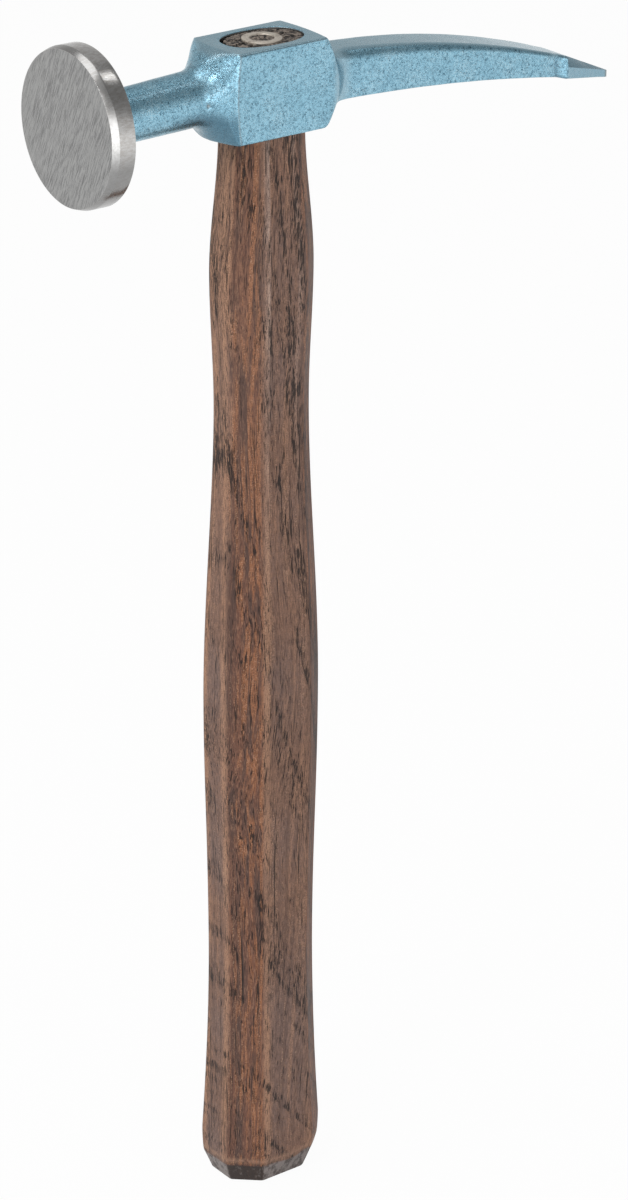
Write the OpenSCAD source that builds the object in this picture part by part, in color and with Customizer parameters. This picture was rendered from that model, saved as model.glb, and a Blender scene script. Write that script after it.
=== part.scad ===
// Pick hammer for panel work: one forged steel head with a flat round face and a long curved pick,
// an eight-sided wooden handle, and a round steel wedge that holds the head on.
// Millimetres. The origin is the centre of the handle's flat butt end. +Z runs up the handle to the
// head, +X points along the head to the pick, and the part is the same on both sides of Y = 0.

/* [Striking face] */
// Diameter of the round striking face
face_d = 40; // [32:0.5:46]
// Thickness of the striking face at its rim
face_t = 6.5; // [5:0.1:8.5]
// Distance from the handle's axis to the striking plane
face_reach = 58; // [50:0.1:66]
// Length of the ground bevel round the striking plane
face_bevel_l = 2.1; // [1:0.1:3]
// How far the ground bevel runs in from the rim
face_bevel_in = 0.6; // [0.3:0.1:1.5]
// How much thicker the striking face is at its centre than at its rim, on the back
face_back_rise = 0.8; // [0.2:0.1:1.5]
// Height of the striking face's centre above the head's underside
face_h = 9.9; // [9:0.1:12]

/* [Neck] */
// Diameter of the round neck at the striking face
neck_face_d = 13.2; // [11:0.1:15]
// Diameter of the round neck where it starts to spread into the eye block
neck_block_d = 14; // [12:0.1:16]
// Height of the neck's centre above the head's underside, at the eye block
neck_h = 11; // [10:0.1:12]
// Radius of the fillet between neck and striking face
neck_face_fillet = 5; // [3:0.1:6]
// Radius of the fillet where the neck spreads into the eye block
neck_block_fillet = 9; // [6:0.1:10]

/* [Eye block] */
// Distance from the handle's axis to the eye block's corners on the face side
block_face_x = 13.4; // [12.5:0.1:16]
// Distance from the handle's axis to the eye block's corners on the pick side
block_pick_x = 13; // [12.5:0.1:16]
// Width of the eye block
block_w = 20; // [18.5:0.1:24]
// Height of the eye block
block_h = 23; // [20:0.1:28]
// Angle of the eye block's sloping end on the face side, from the head's axis
block_end_angle = 55; // [50:1:65]
// How far the middle of that end's upright edges bulges out
face_side_bulge = 1; // [0:0.1:2]
// How far the middle of that end's level edges bulges out
face_top_bulge = 0.9; // [0:0.1:1.5]
// How far the middle of the pick end's upright edges bulges out
pick_side_bulge = 2.9; // [0:0.1:4]
// How far the middle of the pick end's level edges bulges out
pick_level_bulge = 0.8; // [0:0.1:1.5]
// Radius on the eye block's long edges
block_edge_r = 0.5; // [0.3:0.1:1]
// Length over which the eye block's sides curve in towards the neck
block_side_run = 10.1; // [8:0.1:10.4]

/* [Eye] */
// Length of the eye at the top of the head
eye_l = 22.2; // [20:0.1:23]
// Width of the eye at the top of the head
eye_w = 14.4; // [12.5:0.1:15]
// How much longer and wider the eye is at its top than at its bottom
eye_taper = 0.9; // [0.2:0.1:1.5]
// Squareness of the eye's oval, where 2 is an ellipse
eye_power = 2.4; // [2:0.1:3]
// Gap between the eye's wall and the wood
eye_gap = 0.1; // [0.05:0.05:0.3]

/* [Pick] */
// Distance from the handle's axis to the pick's point
pick_reach = 112.6; // [105:0.1:125]
// Width of the pick at its middle
pick_w = 14; // [12:0.1:15.5]
// Distance from the handle's axis to the pick's widest place
pick_mid_x = 56; // [50:1:62]
// Radius of the barrel curve of the pick's sides, seen from above
pick_side_r = 780; // [600:10:1200]
// Radius of the pick's upper curve
pick_top_r = 268; // [240:1:400]
// Height of the upper curve's crest above the head's underside
pick_top_h = 17.8; // [17:0.1:19]
// Distance from the handle's axis to the upper curve's crest
pick_top_x = 8; // [0:0.1:12]
// Radius of the pick's lower curve
pick_low_r = 422; // [400:1:700]
// Height of the lower curve's crest above the head's underside
pick_low_h = 4.9; // [4:0.1:6]
// Distance from the handle's axis to the lower curve's crest
pick_low_x = 18.2; // [14:0.1:22]
// Radius of the pick's upper edges near the eye block
pick_edge_root = 3.2; // [2:0.1:4]
// Radius of the pick's upper edges near the point
pick_edge_end = 1; // [0.6:0.1:1.4]
// Radius of the pick's lower edges
pick_edge_low = 0.6; // [0.3:0.1:1]
// Length over which the pick runs out of the eye block
root_l = 11; // [9:0.1:14]
// Angle of the block's top end down to the pick, from the head's axis
root_top_angle = 65; // [50:1:70]
// Angle of the block's lower end up to the pick, from the head's axis
root_low_angle = 49; // [40:1:60]
// Angle of the block's sides in to the pick, from the head's axis
root_side_angle = 31; // [25:1:40]
// Reach of the soft fillet between the pick and the eye block
root_soft = 2.4; // [1:0.1:3]

/* [Point] */
// Length of the ground point
point_l = 18; // [12:0.1:22]
// Width of the ground point at its wide end
point_w = 11.8; // [10:0.1:12.5]
// Height of the chisel edge at the tip
tip_h = 1.9; // [1:0.1:3]
// Thickness of the chisel edge at the tip
tip_w = 0.7; // [0.4:0.1:1.5]
// Thickness of the point where the last bevel starts
tip_bevel_w = 1.9; // [1.6:0.1:2.5]
// Length of the last bevel at the tip
tip_bevel_l = 1; // [0.5:0.1:2]
// How far the top of the tip lies below the head's underside
tip_drop = 4.4; // [2:0.1:6]
// Height of the point's flat flank at its wide end
flank_h = 3.2; // [2:0.1:4]
// Width of the flat strip on top of the point at its wide end
point_top_w = 7.6; // [4:0.1:9]
// Depth of the groove in the flanks behind the point
groove_d = 0.55; // [0.2:0.05:0.8]
// Length of the groove in the flanks behind the point
groove_l = 5; // [3:0.1:7]
// How far the collar in front of the groove stands down below the pick's lower curve
collar_drop = 0.5; // [0.1:0.05:0.8]

/* [Handle] */
// Height of the head's underside above the butt end
seat_z = 296.5; // [285:0.5:310]
// Length of the end chamfer
butt_chamfer_l = 6.3; // [4:0.1:9]
// How far the end chamfer runs in
butt_chamfer_in = 2.4; // [1:0.1:3.5]
// Height of the grip's widest place above the butt end
butt_z = 13; // [10:0.1:18]
// Length of the grip's section at its widest place, measured along the head
butt_l = 31.9; // [28:0.1:34]
// Width of the grip's section at its widest place
butt_w = 26.2; // [23:0.1:29]
// How much the grip draws in from its widest place down to the chamfer, in length
butt_draw_l = 0.4; // [0:0.1:2]
// How much the grip draws in from its widest place down to the chamfer, in width
butt_draw_w = 1; // [0:0.1:2]
// Height of the waist above the butt end
waist_z = 68; // [55:1:80]
// Length of the section at the waist
waist_l = 28.2; // [25:0.1:31]
// Width of the section at the waist
waist_w = 22.3; // [20:0.1:25]
// Height of the palm swell above the butt end
swell_z = 144; // [120:1:155]
// Length of the section at the palm swell
swell_l = 30.5; // [27:0.1:33]
// Width of the section at the palm swell
swell_w = 23.5; // [20:0.1:25]
// Height of the thin shank above the butt end
shank_z = 225; // [215:1:235]
// Length of the section at the thin shank
shank_l = 25.7; // [23:0.1:27]
// Width of the section at the thin shank
shank_w = 17.7; // [15:0.1:20]
// Height of the shoulder above the butt end
shoulder_z = 260; // [250:1:270]
// Length of the section at the shoulder
shoulder_l = 27.5; // [24:0.1:29]
// Width of the section at the shoulder
shoulder_w = 19.7; // [17.5:0.1:21]
// Width of the ledge on which the head's underside rests, all round the eye
seat_ledge = 0.9; // [0.6:0.1:1.6]
// Radius on the grip's eight long edges
grip_edge_r = 2.2; // [1:0.1:3]
// How far the wood's end grain lies below the head's top
wood_recess = 0.4; // [0.1:0.1:1]

/* [Round wedge] */
// Outside diameter of the round wedge at its top
wedge_d = 10.2; // [8:0.1:11]
// Bore of the round wedge
wedge_bore = 6.2; // [4:0.1:6.5]
// Length of the round wedge
wedge_l = 12; // [8:0.5:14]
// Wall of the round wedge at its sharp lower end
wedge_edge = 0.5; // [0.3:0.1:1]
// Gap between the round wedge and the wood on each side
wedge_gap = 0.05; // [0.03:0.01:0.1]

/* [Hidden] */

$fn = 96;
// Points on each quarter of the head's sections, less one
quarter_steps = 5;
// Points on each of the grip's eight rounded edges, less one
edge_steps = 2;
// Points round the eye
eye_steps = 40;
// Steps along each side between two corners
side_steps = 4;
// Part of a round corner that counts to the side next to it, in degrees
corner_share = 12;
// Smallest width or height of the roof left at the tip
least = 0.05;
// How far the middle of each ground flank swells out
flank_belly = 0.05;
// How far solids that are one piece reach into each other
bite = 0.8;
// Distance from the striking face's back to the first ring of the neck's fillet
fillet_first = 0.2;
// Width of the flat ring round the fillet on the back of the striking face
back_land = 0.5;
// How strongly the block's sides curve in towards the neck, where 1 is straight
block_side_power = 1.35;
// Distance over which the bulge of the block's face end dies away
face_bulge_run = 3;
// Shifts the groove's deepest place back from its middle, where 1 is no shift
groove_skew = 0.8;
// Length of the step from the collar down to the ground point
collar_step_l = 0.6;
// Share of the point's length over which the strip on its top runs out
strip_share = 0.55;

head_top = seat_z + block_h;
block_half_w = block_w / 2;
face_z = seat_z + face_h;
face_back_x = -face_reach + face_t;
neck_z = seat_z + neck_h;

// Section of the sloping end: distance from the head's axis to the eye block's corner
corner_r = norm([block_half_w, block_h / 2]);

// Start of the neck's flare, measured outwards from the block's corners
function flare_meet(base_r) = (corner_r - base_r) / tan(block_end_angle);
function flare_end(base_r, fillet) = flare_meet(base_r) + fillet * tan(block_end_angle / 2);
neck_flare_l = flare_end(neck_block_d / 2, neck_block_fillet);
neck_start_x = -block_face_x - neck_flare_l;

// Pick: places along the head
root_x = block_pick_x + root_l;
point_x = pick_reach - point_l;
groove_x = point_x - groove_l;
tip_top_z = seat_z - tip_drop;

function smooth(t) = let (c = min(max(t, 0), 1)) c * c * (3 - 2 * c);
function blend(a, b, t) = a + (b - a) * t;
function arc_top(x, crest_x, crest_z, r) = crest_z - r + sqrt(r * r - pow(x - crest_x, 2));
// The larger of two heights, with a soft fillet where they cross
function soft_max(a, b, k) = max(a, b) + pow(max(k - abs(a - b), 0), 2) / (4 * k);

// Radius of the flaring end at a distance d outwards from the block's corners:
// a cone from the block's corner, then a concave arc down to the base radius
function flare_r(d, base_r, fillet) =
    let (end = flare_end(base_r, fillet),
         turn = flare_meet(base_r) - fillet * tan(block_end_angle / 2) * cos(block_end_angle))
    d < turn ? corner_r - d * tan(block_end_angle)
    : d < end ? base_r + fillet - sqrt(fillet * fillet - pow(end - d, 2))
    : base_r;

// Corner radius that trims a corner at (a, b) to the distance r from the centre
function trim_r(a, b, r) =
    a * a + b * b <= r * r ? 0
    : let (s = a + b - r) s - sqrt(max(s * s - (a * a + b * b - r * r), 0));

// One section of the head: its place along the head, half width, lower and upper height, width and
// height of its upper corners, radius of its lower corners, the upper corners' power (2 is round, 1 is
// straight), and how far the middles of its upright and level edges bulge along the head
function section(x, w, lo, hi, cut_w, cut_h, cut_lo, power = 2, side_bulge = 0, level_bulge = 0) =
    [x, w, lo, hi, cut_w, cut_h, cut_lo, power, side_bulge, level_bulge];
function half_w(s) = s[1];
function low(s) = s[2];
function high(s) = s[3];
function corner_w(s, up) = up ? s[4] : s[6];
function corner_h(s, up) = up ? s[5] : s[6];
function straight_top(s) = s[7] < 2;
// Place along the head of the section's point at (y, z)
function along(s, y, z) =
    let (v = (2 * z - low(s) - high(s)) / (high(s) - low(s)), u = y / half_w(s))
    s[0] + s[8] * (1 - v * v) + s[9] * (1 - u * u);

// Neck: circles whose centre rises from the striking face's centre to the neck's own height
function neck_t(x) = (x - face_back_x) / (neck_start_x - face_back_x);
function neck_r(x) =
    let (r = blend(neck_face_d, neck_block_d, neck_t(x)) / 2,
         d = min(max(x - face_back_x - face_back_rise, 0), neck_face_fillet))
    r + neck_face_fillet - sqrt(pow(neck_face_fillet, 2) - pow(neck_face_fillet - d, 2));
function neck_section(x) =
    let (r = neck_r(x), z = blend(face_z, neck_z, neck_t(x)))
    section(x, r, z - r, z + r, r, r, r);

// Striking end of the block: the flare, held between the block's top, underside and sides
function flare_section(x) =
    let (d = -x - block_face_x,
         r = flare_r(d, neck_block_d / 2, neck_block_fillet),
         drawn_in = 1 - pow(1 - min(d / block_side_run, 1), block_side_power),
         w = min(blend(block_half_w, neck_block_d / 2, drawn_in), r),
         lo = max(seat_z, neck_z - r),
         hi = min(head_top, neck_z + r),
         top_cut = max(trim_r(w, hi - neck_z, r), block_edge_r),
         low_cut = max(trim_r(w, neck_z - lo, r), block_edge_r),
         fade = smooth(1 - d / face_bulge_run))
    section(x, w, lo, hi, top_cut, top_cut, low_cut, 2, -face_side_bulge * fade, -face_top_bulge * fade);

// Pick: a rounded bar between its two curves
function pick_half_w(x) = pick_w / 2 - pow(x - pick_mid_x, 2) / (2 * pick_side_r);
function pick_hi(x) = arc_top(x, pick_top_x, seat_z + pick_top_h, pick_top_r);
function pick_lo(x) = arc_top(x, pick_low_x, seat_z + pick_low_h, pick_low_r);
function pick_edge(x) = blend(pick_edge_root, pick_edge_end, (x - root_x) / (point_x - root_x));

// Pick end of the block: its top, underside and sides slope in to the pick with soft fillets
function root_section(x) =
    let (d = x - block_pick_x,
         w = soft_max(block_half_w - d * tan(root_side_angle), pick_half_w(x), root_soft),
         hi = soft_max(head_top - d * tan(root_top_angle), pick_hi(x), root_soft),
         lo = -soft_max(-seat_z - d * tan(root_low_angle), -pick_lo(x), root_soft),
         t = smooth(d / root_l),
         fade = 1 - t,
         top_cut = blend(block_edge_r, pick_edge(root_x), t),
         low_cut = blend(block_edge_r, pick_edge_low, t))
    section(x, w, lo, hi, top_cut, top_cut, low_cut, 2, pick_side_bulge * fade, pick_level_bulge * fade);

// Body of the pick, with the groove in its flanks and the collar at its end
function pick_section(x) =
    let (g = min(max((x - groove_x) / groove_l, 0), 1),
         dip = groove_d * pow(sin(180 * pow(g, groove_skew)), 2),
         w = pick_half_w(x) - dip,
         e = pick_edge(x))
    section(x, w, pick_lo(x) - collar_drop * smooth(g), pick_hi(x), e, e, pick_edge_low);

// Ground point: upright flanks under a roof that narrows to the chisel edge
function point_section(t) =
    let (x = blend(point_x, pick_reach, t),
         bevel = tip_bevel_l / point_l,
         w = t < 1 - bevel ? blend(point_w, tip_bevel_w, t / (1 - bevel)) / 2
             : blend(tip_bevel_w, tip_w, (t - 1 + bevel) / bevel) / 2,
         hi = blend(pick_hi(point_x), tip_top_z, t),
         lo = blend(pick_lo(point_x) - collar_drop, tip_top_z - tip_h, t),
         strip = max(point_top_w / 2 * (1 - t / strip_share), tip_w / 4),
         roof = max((hi - lo) - blend(flank_h, tip_h, t), least))
    section(x, w, lo, hi, max(w - strip, least), roof, min(pick_edge_low, w / 3), 1);

// How far a round corner of width w and height h has fallen away at d past its start
function fall(d, w, h) = d <= 0 ? 0 : h - h * sqrt(1 - pow(min(d / w, 1), 2));

// Points of one section, anticlockwise seen from the pick's point. Each corner has a few points, and
// so has each side, and the points of a side also follow the ends of its round corners.
function corner_points(s, up, side) =
    let (w = corner_w(s, up),
         h = corner_h(s, up),
         straight = up && straight_top(s),
         power = straight ? 2 : 1,
         from = straight ? 0 : corner_share,
         first = up == (side > 0))
    [for (i = [0:quarter_steps])
        let (a = from + (90 - 2 * from) * (first ? i : quarter_steps - i) / quarter_steps,
             drop = h * (1 - pow(sin(a), power)))
        [side * (half_w(s) - w + w * pow(cos(a), power)), up ? high(s) - drop : low(s) + drop]];
function level_side(s, p, q, up) =
    [for (i = [1:side_steps - 1])
        let (y = blend(p[0], q[0], i / side_steps),
             w = corner_w(s, up),
             drop = up && straight_top(s) ? 0 : fall(abs(y) - half_w(s) + w, w, corner_h(s, up)))
        [y, up ? high(s) - drop : low(s) + drop]];
function upright_side(s, p, q, side) =
    [for (i = [1:side_steps - 1])
        let (t = i / side_steps,
             z = blend(p[1], q[1], t),
             over = z - high(s) + corner_h(s, true),
             under = low(s) + corner_h(s, false) - z,
             top_drop = straight_top(s) ? 0 : fall(over, corner_h(s, true), corner_w(s, true)),
             low_drop = fall(under, corner_h(s, false), corner_w(s, false)),
             belly = straight_top(s) ? 4 * flank_belly * t * (1 - t) : 0)
        [side * (half_w(s) + belly - top_drop - low_drop), z]];
function section_points(s) =
    let (n = quarter_steps,
         a = corner_points(s, true, 1),
         b = corner_points(s, true, -1),
         c = corner_points(s, false, -1),
         d = corner_points(s, false, 1))
    [for (p = concat(a, level_side(s, a[n], b[0], true), b, upright_side(s, b[n], c[0], -1),
                     c, level_side(s, c[n], d[0], false), d, upright_side(s, d[n], a[0], 1)))
        [along(s, p[0], p[1]), p[0], p[1]]];

// A closed skin through rings that all have the same number of points
module skin(rings) {
    n = len(rings[0]);
    m = len(rings);
    points = [for (ring = rings) each ring];
    sides = [for (i = [0:m - 2], j = [0:n - 1])
        [i * n + j, (i + 1) * n + j, (i + 1) * n + (j + 1) % n, i * n + (j + 1) % n]];
    first = [for (j = [0:n - 1]) j];
    last = [for (j = [n - 1:-1:0]) (m - 1) * n + j];
    polyhedron(points, concat(sides, [first], [last]), convexity = 6);
}

// Evenly spaced places from a up to b, without b
function places(a, b, steps) = [for (i = [0:steps - 1]) blend(a, b, i / steps)];

// Oval of the eye, taken in from the steel by a gap, at a height above the butt end
function eye_points(z, gap) =
    let (t = (head_top - z) / block_h,
         a = eye_l / 2 - eye_taper / 2 * t - gap,
         b = eye_w / 2 - eye_taper / 2 * t - gap)
    [for (i = [0:eye_steps - 1])
        let (u = 360 * i / eye_steps, c = cos(u), s = sin(u))
        [a * sign(c) * pow(abs(c), 2 / eye_power), b * sign(s) * pow(abs(s), 2 / eye_power), z]];

// Grip: one place of the handle is [height, length, width]
grip_places = [
    [butt_chamfer_l, butt_l - butt_draw_l, butt_w - butt_draw_w],
    [butt_z, butt_l, butt_w],
    [waist_z, waist_l, waist_w],
    [swell_z, swell_l, swell_w],
    [shank_z, shank_l, shank_w],
    [shoulder_z, shoulder_l, shoulder_w],
    [seat_z, eye_l - eye_taper + 2 * seat_ledge, eye_w - eye_taper + 2 * seat_ledge]];
// How sharply the grip rounds over below its widest place, and how sharply it flares out above it
butt_round_power = 2;
butt_flare_power = 1.7;
function grip_t(i, z) =
    let (t = (z - grip_places[i][0]) / (grip_places[i + 1][0] - grip_places[i][0]))
    i == 0 ? 1 - pow(1 - t, butt_round_power)
    : i == 1 ? 1 - pow(1 - t, butt_flare_power)
    : smooth(t);
function grip_i(z) = max([for (i = [0:len(grip_places) - 2]) z >= grip_places[i][0] ? i : 0]);
function grip_size(z, k) =
    let (i = grip_i(z)) blend(grip_places[i][k], grip_places[i + 1][k], grip_t(i, z)) / 2;

// Eight-sided section: the corners of one side, as shares of the half length and half width
corner_x = 0.5;
corner_y = 0.42;
function octagon(a, b) = [
    [a, b * corner_y], [a * corner_x, b], [-a * corner_x, b], [-a, b * corner_y],
    [-a, -b * corner_y], [-a * corner_x, -b], [a * corner_x, -b], [a, -b * corner_y]];
// A corner at p between the corners before and after it, cut back by d and bent through its middle
function round_corner(before, p, after, d) =
    let (u = (before - p) / norm(before - p), v = (after - p) / norm(after - p),
         a = p + u * d, b = p + v * d)
    [for (i = [0:edge_steps])
        let (t = i / edge_steps) (1 - t) * (1 - t) * a + 2 * t * (1 - t) * p + t * t * b];
function grip_points(z, a, b, edge) =
    let (c = octagon(a, b))
    [for (i = [0:7]) each [for (q = round_corner(c[(i + 7) % 8], c[i], c[(i + 1) % 8], edge))
        [q[0], q[1], z]]];
// The long edges grow softer from the swell up to the head
low_edge_share = 0.7;
high_edge_share = 1.1;
function grip_edge(z) =
    grip_edge_r * blend(low_edge_share, high_edge_share, smooth((z - swell_z) / (shank_z - swell_z)));

grip_heights = concat(
    places(butt_chamfer_l, butt_z, 3), places(butt_z, waist_z, 8), places(waist_z, swell_z, 6),
    places(swell_z, shank_z, 9), places(shank_z, shoulder_z, 5), places(shoulder_z, seat_z, 6), [seat_z]);

// Profile of the round wedge, grown by a gap into the wood
module wedge_profile(gap) {
    r = wedge_d / 2;
    b = wedge_bore / 2;
    polygon([
        [b - gap, head_top + (gap > 0 ? bite : 0)],
        [r + gap, head_top + (gap > 0 ? bite : 0)],
        [r + gap, head_top],
        [b + wedge_edge + gap, head_top - wedge_l],
        [b - gap, head_top - wedge_l]]);
}

module striking_face() {
    r = face_d / 2;
    translate([0, 0, face_z]) rotate([0, 90, 0]) rotate_extrude()
        polygon([
            [0, -face_reach], [r - face_bevel_in, -face_reach], [r, -face_reach + face_bevel_l],
            [r, face_back_x], [neck_face_d / 2 + neck_face_fillet + back_land, face_back_x + face_back_rise],
            [0, face_back_x + face_back_rise]]);
}

module head_body() {
    fillet_start = face_back_x + face_back_rise;
    fillet_end = fillet_start + neck_face_fillet;
    neck_places = concat([face_back_x - bite], places(fillet_start + fillet_first, fillet_end, 5),
        places(fillet_end, neck_start_x, 2));
    sections = concat(
        [for (x = neck_places) neck_section(x)],
        [for (x = concat(places(neck_start_x, -block_face_x, 12), [-block_face_x])) flare_section(x)],
        [for (x = places(block_pick_x, root_x, 12)) root_section(x)],
        [for (x = places(root_x, groove_x, 8)) pick_section(x)],
        [for (x = concat(places(groove_x, point_x - collar_step_l, 7), [point_x - collar_step_l]))
            pick_section(x)],
        [for (i = [0:5]) point_section(i / 5 * (1 - tip_bevel_l / point_l))],
        [point_section(1)]);
    skin([for (s = sections) section_points(s)]);
}

module eye_hole() {
    skin([
        [for (p = eye_points(seat_z, 0)) [p[0], p[1], seat_z - bite]],
        eye_points(seat_z, 0), eye_points(head_top, 0),
        [for (p = eye_points(head_top, 0)) [p[0], p[1], head_top + bite]]]);
}

module hammer_head() {
    color("#6fa3bd") difference() {
        union() {
            striking_face();
            head_body();
        }
        eye_hole();
    }
}

module grip() {
    skin(concat(
        [grip_points(0, grip_size(butt_chamfer_l, 1) - butt_chamfer_in,
            grip_size(butt_chamfer_l, 2) - butt_chamfer_in, grip_edge(0) / 2)],
        [for (z = grip_heights) grip_points(z, grip_size(z, 1), grip_size(z, 2), grip_edge(z))]));
}

module tenon() {
    skin([
        [for (p = eye_points(seat_z, eye_gap)) [p[0], p[1], seat_z - bite]],
        eye_points(seat_z, eye_gap), eye_points(head_top - wood_recess, eye_gap)]);
}

module handle() {
    color("#6e4a38") difference() {
        union() {
            grip();
            tenon();
        }
        rotate_extrude() wedge_profile(wedge_gap);
    }
}

module ring_wedge() {
    color("#c3bdb2") rotate_extrude() wedge_profile(0);
}

hammer_head();
handle();
ring_wedge();
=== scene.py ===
import math
import bpy
import numpy as np
from mathutils import Matrix, Vector


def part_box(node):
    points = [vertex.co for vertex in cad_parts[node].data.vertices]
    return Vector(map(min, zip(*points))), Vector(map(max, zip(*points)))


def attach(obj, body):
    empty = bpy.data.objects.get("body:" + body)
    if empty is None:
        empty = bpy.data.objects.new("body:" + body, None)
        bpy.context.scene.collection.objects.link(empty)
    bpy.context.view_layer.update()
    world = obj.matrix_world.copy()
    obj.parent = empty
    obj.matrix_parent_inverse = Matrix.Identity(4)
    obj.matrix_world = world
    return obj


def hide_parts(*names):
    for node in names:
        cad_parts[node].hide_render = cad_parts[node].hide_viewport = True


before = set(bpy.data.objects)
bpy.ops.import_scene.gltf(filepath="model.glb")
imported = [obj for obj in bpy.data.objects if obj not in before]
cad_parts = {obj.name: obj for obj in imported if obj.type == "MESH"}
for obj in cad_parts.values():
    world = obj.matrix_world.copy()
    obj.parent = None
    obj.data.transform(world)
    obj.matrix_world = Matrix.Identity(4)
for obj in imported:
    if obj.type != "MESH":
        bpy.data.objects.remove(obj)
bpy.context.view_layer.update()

# Shapes are worked out in millimetres, as on a drawing, and go into the meshes in metres.
mm = 0.001
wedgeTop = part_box("ring_wedge")[1].z / mm  # the round wedge is flush with the head's top
print("frame loaded, head top at", round(wedgeTop, 2), "mm")


# Numbers and curves that several pieces use
def blend(a, b, t):  # straight line from a at t = 0 to b at t = 1
    return a + (b - a) * t


def smoothStep(t):  # 3 t squared - 2 t cubed, with t held between 0 and 1
    c = np.clip(t, 0, 1)
    return c * c * (3 - 2 * c)


def ease(x, start, end):  # smoothStep from 0 where x is at start to 1 where it is at end
    return smoothStep((x - start) / (end - start))


def hump(x, reach):  # bell curve, 1 where x is 0: e to the power -(x / reach) squared
    return np.exp(-(x / reach) ** 2)


def softMax(a, b, k):  # the larger of a and b, rounded over a reach k where they cross
    return np.maximum(a, b) + np.maximum(k - np.abs(a - b), 0) ** 2 / (4 * k)


def crowded(count):  # places from 0 to 1, closer together at both ends: (1 - cos(pi t)) / 2
    return (1 - np.cos(np.linspace(0, math.pi, count))) / 2


def fullTurn(count):  # angles all the way round, in radians
    return np.linspace(0, 2 * math.pi, count, endpoint=False)


def lengthAlong(profile):  # how far each point of a profile lies along it, as a column
    return np.cumsum(np.append(0, np.hypot(*np.diff(profile, axis=0).T)))[:, None]


def waves(p, q, reach, seed):  # gentle unevenness: the mean of five sines whose phases the seed sets
    total = 0
    for k in range(5):
        turn = seed * 1.7 + k * 2.4
        along = np.cos(turn) * p + np.sin(turn) * q
        total = total + np.sin(along * 2 * math.pi / (reach * (1 + 0.31 * k)) + seed * 3.1 + k)
    return total / 5


# Meshes
def ringFaces(m, n, closed=False):  # quads between m rings of n points, and on to the first if closed
    i, j = np.meshgrid(np.arange(m if closed else m - 1), np.arange(n), indexing="ij")
    a, b = i * n + j, i * n + (j + 1) % n
    up = ((i + 1) % m) * n
    return np.stack([a, b, up + (j + 1) % n, up + j], -1).reshape(-1, 4)


def poleFaces(first, n, pole, lastRing):  # triangles from one ring of n points to a pole
    j = np.arange(n)
    a, b = first + j, first + (j + 1) % n
    fan = [a, b, np.full(n, pole)] if lastRing else [b, a, np.full(n, pole)]
    return np.stack(fan, -1)


def skin(rings, closed=False):
    # Points and faces of a skin through rings of points, m by n by 3, with a pole at each end, the mean
    # of the end ring, or with the last ring joined to the first
    m, n = rings.shape[:2]
    points = rings.reshape(-1, 3)
    faces = ringFaces(m, n, closed).tolist()
    if not closed:
        points = np.vstack([points, rings[0].mean(0), rings[-1].mean(0)])
        faces += poleFaces(0, n, m * n, False).tolist()
        faces += poleFaces((m - 1) * n, n, m * n + 1, True).tolist()
    return points, faces


def putIn(name, data):  # an object of its own in the scene for a mesh, a lamp or a camera
    item = bpy.data.objects.new(name, data)
    bpy.context.scene.collection.objects.link(item)
    return item


def addObject(name, points, faces):  # a mesh at the origin, from points in millimetres
    mesh = bpy.data.meshes.new(name)
    mesh.from_pydata((points * mm).tolist(), [], faces)
    return putIn(name, mesh)


def addWrap(mesh, wrap, m, n):
    # UV map in metres from the lengths round and along each of m by n points. Faces over the seam take
    # lengths one turn further on: where a corner lies over half the reach behind the face's widest one.
    corner = np.zeros(len(mesh.loops), np.int32)
    mesh.loops.foreach_get("vertex_index", corner)
    around, along = [np.append(np.broadcast_to(w, (m, n)).ravel(), [0, 0])[corner] * mm for w in wrap]
    reach = around.max()
    starts = np.zeros(len(mesh.polygons), np.int32)
    mesh.polygons.foreach_get("loop_start", starts)
    sizes = np.diff(np.append(starts, len(corner)))
    widest = np.repeat(np.maximum.reduceat(around, starts), sizes)
    around = np.where(widest - around > reach / 2, around + reach * n / (n - 1), around)
    layer = mesh.uv_layers.new(name="wrap")
    layer.data.foreach_set("uv", np.stack([around, along], -1).ravel().astype(np.float32))


def addPiece(name, rings, material, node, closed=False, marks=None, sharp=30, wrap=None):
    # One finished piece. marks are per-point values the materials read, and wrap is a pair of lengths
    # for the UV map. A pole takes the mark of the nearest end ring.
    m, n = rings.shape[:2]
    piece = addObject(name, *skin(rings, closed))
    for key, value in (marks or {}).items():
        spread = np.broadcast_to(value, (m, n)).ravel()
        spread = np.append(spread, [] if closed else [spread[0], spread[-1]]).astype(np.float32)
        piece.data.attributes.new(key, "FLOAT", "POINT").data.foreach_set("value", spread)
    if wrap is not None:
        addWrap(piece.data, wrap, m, n)
    finishPiece(piece, material, node, sharp)
    return piece


def smooth(mesh, sharp):  # smooth shading, but for edges that turn by more than an angle in degrees
    mesh.polygons.foreach_set("use_smooth", np.ones(len(mesh.polygons), bool))
    mesh.set_sharp_from_angle(angle=math.radians(sharp))


def finishPiece(piece, material, node, sharp):  # shading, material, a parent under the root body, and the imported part it stands for hidden
    piece.data.validate()
    smooth(piece.data, sharp)
    piece.data.materials.append(material)
    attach(piece, "root")
    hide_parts(node)


def cutOut(piece, cutter):  # takes the cutter's solid out of the piece's mesh, and removes the cutter
    cut = piece.modifiers.new("cut", "BOOLEAN")
    cut.operation = "DIFFERENCE"
    cut.solver = "EXACT"
    cut.object = cutter
    bpy.context.view_layer.update()
    ready = piece.evaluated_get(bpy.context.evaluated_depsgraph_get())
    mesh = bpy.data.meshes.new_from_object(ready)
    piece.modifiers.clear()
    piece.data = mesh
    bpy.data.objects.remove(cutter)


# Node helpers
def addNode(tree, kind, inputs=None, **settings):
    node = tree.nodes.new(kind)
    for key, value in settings.items():
        setattr(node, key, value)
    for key, value in (inputs or {}).items():
        if isinstance(value, bpy.types.NodeSocket):
            tree.links.new(value, node.inputs[key])
        else:
            node.inputs[key].default_value = value
    return node


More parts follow.
